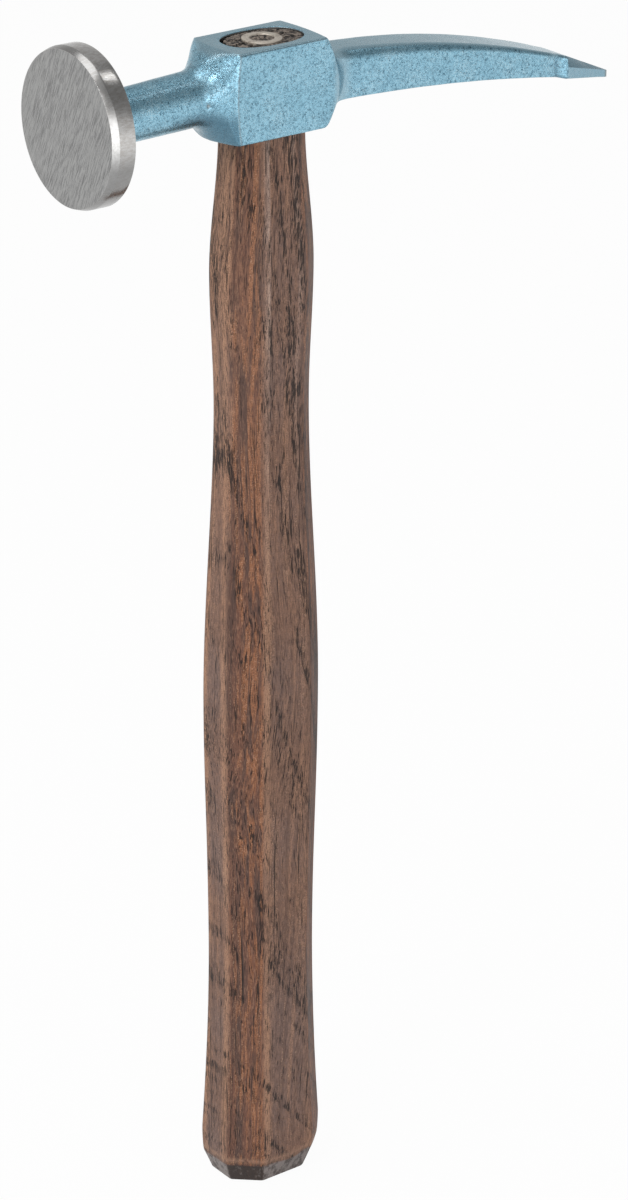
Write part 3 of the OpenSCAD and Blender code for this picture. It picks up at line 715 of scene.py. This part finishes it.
def pickBar(h, x):  # half width, lower and upper height and upper corner radius of the curved bar
    w = h["pickW"] / 2 - (x - h["pickMid"]) ** 2 / (2 * h["pickSideR"])
    root, point = h["blockPick"] + h["rootL"], h["pickReach"] - h["pointL"]
    corner = blend(h["edgeRoot"], h["edgeEnd"], (x - root) / (point - root))
    return (w, arcTop(x, h["lowCrestX"], h["lowCrestZ"], h["lowR"]),
            arcTop(x, h["topCrestX"], h["topCrestZ"], h["topR"]), corner)


def root(h, x):  # the block's pick end: sloping planes that meet the bar with soft fillets
    d = x - h["blockPick"]
    w, lo, hi = pickBar(h, x)[:3]
    slope = [softMax(d * math.tan(math.radians(h[key])), 0, h["endSoft"])
             for key in ("rootSideAngle", "rootLowAngle", "rootTopAngle")]
    w = softMax(h["halfW"] - slope[0], w, h["rootSoft"])
    lo = -softMax(-h["low"] - slope[1], -lo, h["rootSoft"])
    hi = softMax(h["top"] - slope[2], hi, h["rootSoft"])
    t = smoothStep(d / h["rootL"])
    cut, cutLow = blend(h["edgeR"], h["edgeRoot"], t), blend(h["edgeR"], h["edgeLow"], t)
    return sections(x, w, lo, hi, cut, cut, cutLow, 1.0, h["pickSideBulge"] * (1 - t),
                    h["pickLevelBulge"] * (1 - t))


def bar(h, x):  # the curved bar, with a shallow groove in its flanks behind the collar
    w, lo, hi, corner = pickBar(h, x)
    g = np.clip((x - (h["pickReach"] - h["pointL"] - h["grooveL"])) / h["grooveL"], 0, 1)
    w = w - h["grooveD"] * np.sin(math.pi * g ** h["grooveLate"]) ** 2
    return sections(x, w, lo - h["collarDrop"] * smoothStep(g), hi, corner, corner, h["edgeLow"])


def point(h, t):  # the ground point: upright flanks under a roof that narrows to the chisel edge
    start = h["pickReach"] - h["pointL"]
    bevel = h["tipBevelL"] / h["pointL"]
    ground = blend(h["pointW"], h["tipBevelW"], t / (1 - bevel))
    w = np.where(t < 1 - bevel, ground, blend(h["tipBevelW"], h["tipW"], (t - 1 + bevel) / bevel)) / 2
    lowStart, topStart = [pickBar(h, np.array(start))[k] for k in (1, 2)]
    hi = blend(topStart, h["tipZ"], t)
    lo = blend(lowStart - h["collarDrop"], h["tipZ"] - h["tipH"], t)
    strip = np.maximum(h["pointTopW"] / 2 * (1 - t / 0.55), h["tipW"] / 4)
    roof = np.maximum(hi - lo - blend(h["flankH"], h["tipH"], t), 0.05)
    return sections(blend(start, h["pickReach"], t), w, lo, hi, np.maximum(w - strip, 0.05), roof,
                    np.minimum(h["edgeLow"], w / 3), 2.0)


def fall(d, w, h):  # how far an elliptical corner of width w and height h drops at d past its start
    return np.where(d > 0, h - h * np.sqrt(np.maximum(1 - np.minimum(d / w, 1) ** 2, 0)), 0)


def sectionPoints(rows, steps, sideSteps):
    # Points round each section, anticlockwise seen from the pick's point: four corners, each a quarter of
    # an ellipse (power 1) or a straight chamfer (power 2), and four sides between them. Where a section
    # has no flats, its sides take over the ends of the corners, so that no two points fall together.
    x, w, lo, hi, cutW, cutH, cutLow, power, sideBulge, levelBulge = [rows[:, k:k + 1] for k in range(10)]
    flat = np.minimum(np.minimum(2 * w - 2 * cutW, hi - lo - cutH - cutLow), 2 * w - 2 * cutLow)
    share = np.where(power > 1.5, 0, 12 * smoothStep(1 - flat / 3))
    t = np.linspace(0, 1, steps + 1)[None]
    rising = np.radians(share + (90 - 2 * share) * t)

    def corner(up, side):
        angle = rising if up == (side > 0) else rising[:, ::-1]
        a, b, k = (cutW, cutH, power) if up else (cutLow, cutLow, np.ones_like(power))
        drop = b * (1 - np.sin(angle) ** k)
        return side * (w - a + a * np.cos(angle) ** k), (hi - drop if up else lo + drop)

    inner = crowded(sideSteps + 1)[None, 1:-1]

    def levelSide(start, end, up):
        y = blend(start[0][:, -1:], end[0][:, :1], inner)
        a, b = (cutW, cutH) if up else (cutLow, cutLow)
        drop = np.where((power > 1.5) & up, 0, fall(np.abs(y) - w + a, a, b))
        return y, (hi - drop if up else lo + drop)

    def uprightSide(start, end, side):
        z = blend(start[1][:, -1:], end[1][:, :1], inner)
        topDrop = np.where(power > 1.5, 0, fall(z - hi + cutH, cutH, cutW))
        return side * (w - topDrop - fall(lo + cutLow - z, cutLow, cutLow)), z

    a, b, c, d = corner(True, 1), corner(True, -1), corner(False, -1), corner(False, 1)
    parts = [a, levelSide(a, b, True), b, uprightSide(b, c, -1),
             c, levelSide(c, d, False), d, uprightSide(d, a, 1)]
    y = np.concatenate([part[0] for part in parts], 1)
    z = np.concatenate([part[1] for part in parts], 1)
    v, u = (2 * z - lo - hi) / (hi - lo), y / w
    along = x + sideBulge * (1 - v * v) + levelBulge * (1 - u * u)
    return np.stack([along, y, z], -1)


def eyeReach(x, y, level, grow):
    # (x / a) to a power + (y / b) to that power: 1 on the eye's oval, less inside it. The oval narrows
    # from level 0, the top of the head, to level 1, its underside, and is grown by a distance.
    a, b = [eye[key] - eye["narrow"] * level + grow for key in ("halfL", "halfW")]
    return (np.abs(x) / a) ** eye["power"] + (np.abs(y) / b) ** eye["power"]


def eyeLevel(z):  # 0 at the top of the head, 1 at its underside
    return (head["top"] - z) / (head["top"] - head["low"])


def eyeOval(z, angle, grow):  # edge of the eye at height z, seen from the axis at an angle
    r = eyeReach(np.cos(angle), np.sin(angle), eyeLevel(z), grow) ** (-1 / eye["power"])
    return np.stack([r * np.cos(angle), r * np.sin(angle), np.broadcast_to(z, r.shape)], -1)


def eyeCutter():  # the eye as a solid, opening out by a small radius at the top and the underside
    angle = fullTurn(eye["around"])[None]
    q = np.linspace(0, math.pi / 2, 6)
    edge = eye["edge"]
    z = np.concatenate([[head["low"] - 1], head["low"] + edge * (1 - np.cos(q)),
                        head["top"] - edge * (1 - np.cos(q[::-1])), [head["top"] + 1]])
    grow = np.concatenate([[edge], edge * (1 - np.sin(q)), edge * (1 - np.sin(q[::-1])), [edge]])
    rings = eyeOval(z[:, None], np.repeat(angle, len(z), 0), grow[:, None])
    return addObject("eyeCutter", *skin(rings))


def forging(h, rings, fromChip):
    # How far the skin stands out: waves over the neck, block and bar, more waves on the flare, thick
    # spots of paint there, less one small chip beside the eye block
    x, z = rings[..., 0], rings[..., 2]
    forged = ease(x, -48, -40) * ease(x, 100, 90) * ease(z, 318, 316)
    onFlare = ease(x, -24, -20) * ease(x, h["blockFace"] - 0.3, h["blockFace"] - 2.3)
    out = waves(x, z + rings[..., 1], 9.0, 2) * h["forgeDepth"] * forged
    out = out + waves(x, z + rings[..., 1], 6.0, 4) * h["flareDepth"] * onFlare
    for *place, height, reach in h["pads"]:
        out = out + height * hump(np.linalg.norm(rings - place, axis=-1), reach)
    return out - h["chipDepth"] * hump(fromChip, h["chipReach"])


def headMarks(h, rings, rows, up, fromChip):
    # What the paint reads at each point, 0 to 1. up is the height of the skin's outward direction.
    x, z = rings[..., 0], rings[..., 2]
    w, lo, hi = [rows[:, k:k + 1] for k in (1, 2, 3)]
    behind = h["blockFace"] - rows[:, :1]
    pointX = h["pickReach"] - h["pointL"]
    grooveX = pointX - h["grooveL"]
    onPoint = ease(x, pointX - 0.3, pointX + 0.3)
    flank = lo + blend(h["flankH"], h["tipH"], (x - pointX) / h["pointL"])
    # painted shade: darker under and inside the flare, on the point, most on its slopes, and by its collar
    paintedShade = np.maximum.reduce([
        ease(-up, 0.05, 0.55) * ease(behind, 0, 0.5) * ease(x, -34, -24),
        0.28 * ease(x, -24, -20) * ease(x, h["blockFace"] - 0.6, h["blockFace"] - 3.1) * ease(up, 0.4, 0.1),
        0.72 * onPoint * ease(z, flank - 0.1, flank + 0.2),
        0.3 * onPoint,
        0.7 * ease(x, grooveX, grooveX + 2) * ease(z, lo + 1.1, lo + 0.3) * (1 - onPoint)])
    # thin, even paint with fewer veins on the top of the block and bar, round the pick's root and on the
    # point; the greyer colour it brings on the tops and the root is a painted reflection
    evenPaintAndSheen = np.maximum.reduce([
        ease(z, hi - 0.6, hi - 0.2) * ease(x, -18, -16), 0.9 * ease(x, 14.5, 16.5) * ease(x, 24.5, 19.5),
        0.8 * onPoint])
    # worn on the very end, in a thin line on the block's upright corners and in the chip
    endX = h["pickReach"] - 1.1 * h["tipBevelL"]
    worn = np.maximum.reduce([
        0.85 * ease(x, endX, endX + 0.25),
        0.5 * hump(behind, 0.17) * ease(np.abs(rings[..., 1]), w - 0.6, w - 0.3),
        0.9 * hump(fromChip, 0.42)])
    return {"paintedShade": paintedShade, "evenPaintAndSheen": evenPaintAndSheen, "worn": worn}


def shadeEyeWall(mesh):  # painted shade on the eye's wall: points inside the eye's oval, between its two edges
    spots = np.zeros(len(mesh.vertices) * 3)
    mesh.vertices.foreach_get("co", spots)
    x, y, z = spots.reshape(-1, 3).T / mm
    level = eyeLevel(z)
    inside = (eyeReach(x, y, level, eye["dark"]) < 1) & (level > 0.003) & (level < 0.997)
    for key, value in (("paintedShade", 1.0), ("evenPaintAndSheen", 1.0), ("worn", 0.75)):
        values = np.zeros(len(mesh.vertices), np.float32)
        mesh.attributes[key].data.foreach_get("value", values)
        mesh.attributes[key].data.foreach_set("value", np.where(inside, value, values).astype(np.float32))


def makeHead(h):
    neckEnd = h["blockFace"] - flareEnd(h)[2]
    filletStart = h["faceBack"] + h["backRise"]
    filletEnd = filletStart + h["faceFillet"]
    rootX, pointX = h["blockPick"] + h["rootL"], h["pickReach"] - h["pointL"]
    grooveX, collarX = pointX - h["grooveL"], pointX - h["collarEdge"]
    q = np.linspace(0, 1, 15)[1:-1]
    flareRows = flare(h, h["blockFace"] - (h["blockFace"] - neckEnd) * np.linspace(1, 0, 44) ** 1.25)
    rootRows = root(h, np.linspace(h["blockPick"] - h["softRun"], rootX, 46, endpoint=False))
    blockRows = blend(flareRows[-1:], rootRows[:1], crowded(22)[1:-1, None])
    barX = [np.linspace(rootX, grooveX, 56, endpoint=False), np.linspace(grooveX, collarX, 20)]
    bevel = h["tipBevelL"] / h["pointL"]
    rows = np.vstack([
        discBack(h), neck(h, filletStart + h["faceFillet"] * (1 - np.cos(q * math.pi / 2))),
        neck(h, np.linspace(filletEnd, neckEnd, 18, endpoint=False)), flareRows, blockRows, rootRows,
        bar(h, np.concatenate(barX)),
        point(h, np.concatenate([np.linspace(0, 1 - bevel, 26), [1 - bevel / 2, 1]]))])
    rings = sectionPoints(rows, h["cornerSteps"], h["sideSteps"])
    axis = np.stack([rows[:, 0] * 0, rows[:, 0] * 0, (rows[:, 2] + rows[:, 3]) / 2], -1)[:, None]
    outward = rings * (0, 1, 1) - axis
    outward = outward / np.maximum(np.linalg.norm(outward, axis=-1, keepdims=True), 0.1)
    fromChip = np.linalg.norm(rings - h["chipAt"], axis=-1)
    rings = rings + outward * forging(h, rings, fromChip)[..., None]
    marks = headMarks(h, rings, rows, outward[..., 2], fromChip)
    piece = addPiece("headBody", rings, paintLook, "hammer_head", marks=marks)
    cutOut(piece, eyeCutter())
    shadeEyeWall(piece.data)
    smooth(piece.data, 32)
    weigh = piece.modifiers.new("weighted normals", "WEIGHTED_NORMAL")
    weigh.keep_sharp = True
    return piece


headBody = makeHead(head)
print("head ready,", len(headBody.data.polygons), "faces")

# Striking disc: turned about the head's axis
disc = {"z": 306.4, "plane": -58.0, "back": -51.5, "rimR": 19.98, "bevelL": 1.85, "bevelIn": 0.6,
        "soft": 0.12, "around": 288, "wander": 0.07, "rimRings": (-54.5, -53.0)}


def makeDisc(d):
    # Profile as (radius, place along the head) from the middle of the face out, over the bevel and the
    # rim, and back in behind, carried round the head's axis. The bevel's inner edge wanders a little.
    s, r, edge = d["soft"], d["rimR"], d["rimR"] - d["bevelIn"]
    face, rim, back = d["plane"], d["plane"] + d["bevelL"], d["back"]
    profile = np.array([
        (3, face), (8, face), (13, face), (17, face), (edge - 0.5, face), (edge - s, face),
        (edge, face + s * 0.25), (edge + s * 0.5, face + s), (r - s * 0.6, rim - s * 2),
        (r - s * 0.12, rim - s * 0.3), (r, rim + s), *[(r, x) for x in d["rimRings"]], (r, back - s * 2),
        (r - s * 0.4, back - s * 0.6), (r - s * 1.4, back + 0.02), (r - 1, back + 0.1), (17, back + 0.3),
        (12, back + 0.8), (6, back + 0.8)])
    angle = fullTurn(d["around"])
    radius, x = profile[:, :1], profile[:, 1:]
    wander = d["wander"] * waves(20 * np.cos(angle), 20 * np.sin(angle), 14, 5)[None]
    wide = radius + wander * hump(radius - edge, 0.5) * (x < face + 1)
    across, up = -wide * np.cos(angle), d["z"] + wide * np.sin(angle)
    rings = np.stack([np.broadcast_to(x, wide.shape), across, up], -1)
    onRim = (radius > edge - 0.05) & (x < back + 0.05)
    onBevel = onRim & (x < rim)
    # painted shade: the rim is darker below its middle, and the bevel at its top; painted highlight: the
    # bevel is bright at middle height only
    high = np.sin(angle)[None]
    paintedRimShade = onRim * ease(high, 0.05, -0.35) + 0.6 * onBevel * ease(high, 0.2, 0.7)
    bevelHighlight = onBevel * (1 - 0.85 * ease(high, -0.55, -0.67) - 0.85 * ease(high, 0.05, 0.65))
    return addPiece("strikingDisc", rings, faceLook, "hammer_head",
                    marks={"rim": onRim * 1.0, "bevel": bevelHighlight, "paintedRimShade": paintedRimShade},
                    wrap=(20 * angle[None], lengthAlong(profile)), sharp=35)


makeDisc(disc)
print("striking disc ready")

# Handle: one piece of wood from the chamfered butt to the end grain in the eye
handle = {
    # height, length along the head and width of the grip at its main places
    "places": [(6.3, 31.5, 25.2), (13, 31.9, 26.2), (68, 28.2, 22.3), (144, 30.5, 23.5), (225, 25.7, 17.7),
               (260, 27.5, 19.7), (296.5, 23.1, 15.3)],
    "chamferL": 6.3, "chamferIn": 2.4, "facetX": 0.5, "facetY": 0.42, "edgeR": 2.2, "topZ": 319.1,
    "gap": 0.12, "wearGap": 0.95, "arcSteps": 8, "facetSteps": 24, "rows": 230, "uneven": 0.06,
    "strip": 1.3, "paintedEdgeShadow": 0.45,  # widths of the worn strip and of the painted shadow line beside each edge
    "stripFade": (150, 210), "paintedEdgeShadowFade": (250, 190),  # heights where they grow thinner, and end
    "wander": 0.55, "knock": (0.9, -1.08, 0.16),  # of the chamfer's edge; depth, angle round, reach
    "ledgeZ": 7.2, "splitDepth": 0.8, "coreSplitDepth": 0.5, "grainDepth": 0.06, "coreGrainDepth": 0.1,
    "groove": (5.15, 3.65, 3.05, 307.45),  # the wedge's groove: outer radius above and below, inner, floor
    # drying splits in the end grain: start, far end and width of each
    "splits": [(-4.6, -0.4, -9.8, -1.0, 0.36), (-4.2, 2.0, -7.6, 3.0, 0.26), (-4.0, -2.4, -6.9, -4.2, 0.26),
               (4.8, 0.7, 10.2, 1.3, 0.32), (4.6, -1.6, 9.2, -2.9, 0.3), (4.0, 3.0, 8.2, 4.4, 0.24),
               (-0.6, -0.9, 1.3, 0.7, 0.22), (-1.4, 0.9, 0.3, 1.6, 0.18)],
}


def gripSize(h, z):  # half length and half width at height z, eased between the main places
    places = np.array(h["places"], float)
    i = np.clip(np.searchsorted(places[:, 0], z, "right") - 1, 0, len(places) - 2)
    t = (z - places[i, 0]) / (places[i + 1, 0] - places[i, 0])
    t = np.where(i == 0, 1 - (1 - t) ** 2, np.where(i == 1, 1 - (1 - np.clip(t, 0, 1)) ** 1.7, smoothStep(t)))
    return [blend(places[i, k], places[i + 1, k], t) / 2 for k in (1, 2)]


def octagonRing(h, a, b, cut):
    # Eight flats with corners at shares of the half length a and half width b; each corner is cut back
    # by a distance and bent through the corner as a parabola. Rows of points, one row for each a, b, cut.
    u = np.array([1, h["facetX"], -h["facetX"], -1, -1, -h["facetX"], h["facetX"], 1])
    v = np.array([h["facetY"], 1, 1, h["facetY"], -h["facetY"], -1, -1, -h["facetY"]])
    corner = np.stack([a[:, None] * u, b[:, None] * v], -1)
    before, after = np.roll(corner, 1, 1), np.roll(corner, -1, 1)
    unit = lambda w: w / np.linalg.norm(w, axis=-1, keepdims=True)
    start, end = [corner + unit(w - corner) * cut[:, None, None] for w in (before, after)]
    t = np.linspace(0, 1, h["arcSteps"] + 1)[None, None, :, None]
    arc = (1 - t) ** 2 * start[:, :, None] + 2 * t * (1 - t) * corner[:, :, None] + t ** 2 * end[:, :, None]
    s = np.linspace(0, 1, h["facetSteps"] + 1)[None, None, 1:-1, None]
    flat = blend(end[:, :, None], np.roll(start, -1, 1)[:, :, None], s)
    return np.concatenate([arc, flat], 2).reshape(len(a), -1, 2)


def gripRings(h, flat, z):
    # The grip's outlines at their heights. The flats are a little uneven, as from hand finishing, and
    # the chamfer's upper edge wanders and is knocked back at one corner.
    grip = np.concatenate([flat, np.repeat(z[:, None, None], flat.shape[1], 1)], -1)
    turn = np.arctan2(flat[..., 1], flat[..., 0])
    uneven = h["uneven"] * waves(14 * turn, grip[..., 2] * 0.25, 13, 3)
    uneven = uneven * (ease(z, 0, 12) * ease(z, 296, 288))[:, None]
    grip[..., :2] *= 1 + uneven[..., None] / 12
    depth, place, reach = h["knock"]
    lift = h["wander"] * waves(14 * turn, turn * 0, 9, 8) + depth * hump(turn - place, reach)
    grip[..., 2] += (hump(z - h["chamferL"], 2.2) * ease(z, 0, 2))[:, None] * lift
    return grip, turn[-1:]


def splits(h, xy):
    # Depth of the drying splits, 0 to 1: the largest of several narrow hollows, each a line from
    # beside the wedge outwards that grows thinner towards its far end.
    depth = np.zeros(xy.shape[:-1])
    for x0, y0, x1, y1, width in h["splits"]:
        start, way = np.array([x0, y0]), np.array([x1 - x0, y1 - y0])
        reach = np.linalg.norm(way)
        t = ((xy - start) @ way) / (way @ way)
        c = np.clip(t, 0, 1)
        off = xy - start - c[..., None] * way
        side = (off[..., 0] * way[1] - off[..., 1] * way[0]) / reach + 0.22 * np.sin(t * 7 + x0)
        depth = np.maximum(depth, hump(side, width * (1.4 - 0.9 * c)) * hump((t - c) * reach, 0.4))
    return depth


def eyeRings(h, angle):
    # The part in the eye: up from the ledge, in over the end grain to the wedge's groove, down, across
    # and up to the core. The wood is worn back on the striking side. Gives the four parts' rings and
    # the depth of the splits in the end grain and in the core.
    z = np.array([head["low"], 300, 306, 312, 317, h["topZ"] - 0.25, h["topZ"] - 0.06])
    worn = h["wearGap"] * np.maximum(-np.cos(angle), 0) ** 4 * ease(z, 314, 319)[:, None]
    shrink = -h["gap"] - worn - np.array([0, 0, 0, 0, 0, 0, 0.08])[:, None]
    tenon = eyeOval(z[:, None], np.repeat(angle, len(z), 0), shrink)
    outerR, outerLow, innerR, floorZ = h["groove"]
    way = np.stack([np.cos(angle[0]), np.sin(angle[0])], -1)[None]
    topXy = blend(tenon[-1:, :, :2], way * outerR, np.linspace(0.03, 1, 30)[:, None, None])
    coreXy = way * np.linspace(innerR, 0.25, 12)[:, None, None]
    splitTop, splitCore = splits(h, topXy), splits(h, coreXy) * 0.6
    topGrain = h["grainDepth"] * (1 + waves(topXy[..., 0], topXy[..., 1], 1.6, 4))
    coreGrain = h["coreGrainDepth"] * (1 + waves(coreXy[..., 0], coreXy[..., 1], 1.3, 6))
    topZ = h["topZ"] - topGrain - h["splitDepth"] * splitTop
    coreZ = h["topZ"] + 0.15 - coreGrain - h["coreSplitDepth"] * splitCore
    wallXy = np.array([outerR, outerLow, innerR, innerR])[:, None, None] * way
    wallZ = np.array([h["topZ"] - 0.6, floorZ, floorZ, h["topZ"] - 0.6])[:, None] + angle * 0
    parts = [(topXy, topZ), (wallXy, wallZ), (coreXy, coreZ)]
    return [tenon] + [np.concatenate([xy, z[..., None]], -1) for xy, z in parts], splitTop, splitCore


def woodMarks(h, flat, z, halfW, counts, splitTop, splitCore):
    # What the wood reads at each point, 0 to 1: worn strips beside the long edges on the broad flats, a
    # painted shadow line inside each ridge on the slanting flats, slanting flats, end grain and splits. The
    # flats alternate, slanting and broad, each after its arc.
    n = flat.shape[1]
    step = h["arcSteps"] + h["facetSteps"]
    k = np.arange(n)
    s = (k % step - h["arcSteps"]) / h["facetSteps"]
    s = np.where(s < 0, s * h["facetSteps"] / h["arcSteps"], s)  # -1 to 0 on the arc, 0 to 1 on the flat
    onArc, broad = s < 0, (k // step) % 2 == 1
    flatL = np.linalg.norm(np.diff(flat[:, ::step], axis=1, append=flat[:, :1]), axis=-1)[:, k // step]
    fromEdge = np.minimum(np.abs(s), np.abs(1 - s)) * flatL
    upper = ease(z, *h["stripFade"])[:, None]  # the worn strips grow thinner towards the head
    arcShare = np.where(broad, 1 + s, -s)  # an arc rises into a broad flat or falls away from it
    ridge = np.where(broad, hump(fromEdge, h["strip"] * (1 - 0.6 * upper)), 0)
    ridge = np.where(onArc, smoothStep(arcShare) ** (1 + 5 * upper), ridge)
    paintedEdgeShadow = np.where(broad | onArc, 0, hump(fromEdge - 0.3, h["paintedEdgeShadow"]))  # painted shadow: a dark line inside each ridge
    v = np.abs(flat[..., 1]) / halfW[:, None]
    onGrip = {
        "ridge": ridge * (1 - 0.6 * ease(flat[..., 0], 0, 6)) * ease(z, 6, 7.5)[:, None],
        "paintedEdgeShadow": paintedEdgeShadow * ease(z, *h["paintedEdgeShadowFade"])[:, None],
        "facet": np.where(onArc, 1 - smoothStep(arcShare), ~broad),
        "warmSide": ease(v, h["facetY"], 1), "endFlat": ease(v, h["facetY"] + 0.1, h["facetY"]),
        "endGrain": ease(z, h["chamferL"], 5.6)[:, None],
        "ledge": (hump(z - h["ledgeZ"], 0.5) * (z > h["chamferL"]) * 0.9)[:, None],
    }
    marks = {key: np.zeros((sum(counts), n)) for key in onGrip}
    for key, value in onGrip.items():
        marks[key][:counts[0]] = value
    outside = counts[0] + counts[1]
    marks["eyeGrain"] = (np.arange(sum(counts)) >= outside - 2)[:, None] * 1.0
    marks["split"] = np.concatenate([np.zeros((outside, n)), splitTop, np.zeros((counts[3], n)), splitCore])
    return marks


def makeHandle(h):
    chamfer = np.array([0.0, 0.12, 0.4, 1.2, 2.4, 3.6, 4.8, 5.6, 6.0, h["chamferL"]])
    z = np.concatenate([chamfer, np.linspace(h["chamferL"], head["low"], h["rows"])[1:]])
    a, b = gripSize(h, np.maximum(z, h["chamferL"]))
    inset = softMax(h["chamferIn"] * (1 - z / h["chamferL"]), 0, 0.18)
    inset[:3] += np.array([0.38, 0.12, 0.0])
    swell, waist = h["places"][3][0], h["places"][4][0]  # the edges are rounder from the waist upwards
    cut = h["edgeR"] * blend(0.5, 1.0, ease(z, swell, waist))
    cut = cut * blend(0.6, 1.0, np.clip(z / h["chamferL"], 0, 1))
    flat = octagonRing(h, a - inset, b - inset, cut)
    grip, angle = gripRings(h, flat, z)
    inEye, splitTop, splitCore = eyeRings(h, angle)
    parts = [grip] + inEye
    marks = woodMarks(h, flat, z, b - inset, [len(part) for part in parts], splitTop, splitCore)
    rings = np.concatenate(parts)
    return addPiece("handleWood", rings, woodLook, "handle", marks=marks, sharp=40)


makeHandle(handle)
print("handle ready")

# Round wedge: a short tube, turned about the handle's axis, sharp at its lower end
wedge = {"topZ": 319.5, "lowZ": 307.5, "outerR": 5.1, "boreR": 3.1, "edge": 0.5, "soft": 0.16, "around": 160,
         "dent": 0.035, "uneven": 0.03, "spread": 0.02}


def makeWedge(w):  # closed profile carried round the axis; the top is hammered slightly uneven
    s, r, b, top = w["soft"], w["outerR"], w["boreR"], w["topZ"]
    profile = np.array([
        (b, w["lowZ"]), (b + w["edge"], w["lowZ"]), (r - 0.05, top - 0.9), (r, top - s * 1.6),
        (r - s * 0.3, top - s * 0.45), (r - s, top), (r - s * 2.5, top), ((r + b) / 2, top),
        (b + s * 2.5, top), (b + s, top), (b + s * 0.3, top - s * 0.45), (b, top - s * 1.6)])
    angle = fullTurn(w["around"])[None]
    near = ease(profile[:, 1:], top - 1, top)
    dent = w["dent"] * (1 + waves(5 * np.cos(angle), 5 * np.sin(angle), 3.1, 7)) * near
    radius = profile[:, :1] + w["uneven"] * waves(5 * np.cos(angle), 5 * np.sin(angle), 4.3, 9) * near
    radius = np.minimum(radius, r + w["spread"])
    rings = np.stack([radius * np.cos(angle), radius * np.sin(angle), profile[:, 1:] - dent], -1)
    return addPiece("ringWedge", rings, wedgeLook, "ring_wedge", closed=True,
                    wrap=(4 * angle, lengthAlong(profile)), sharp=45)


makeWedge(wedge)
print("round wedge ready")

# Bring the view layer up to date at the end
bpy.context.view_layer.update()
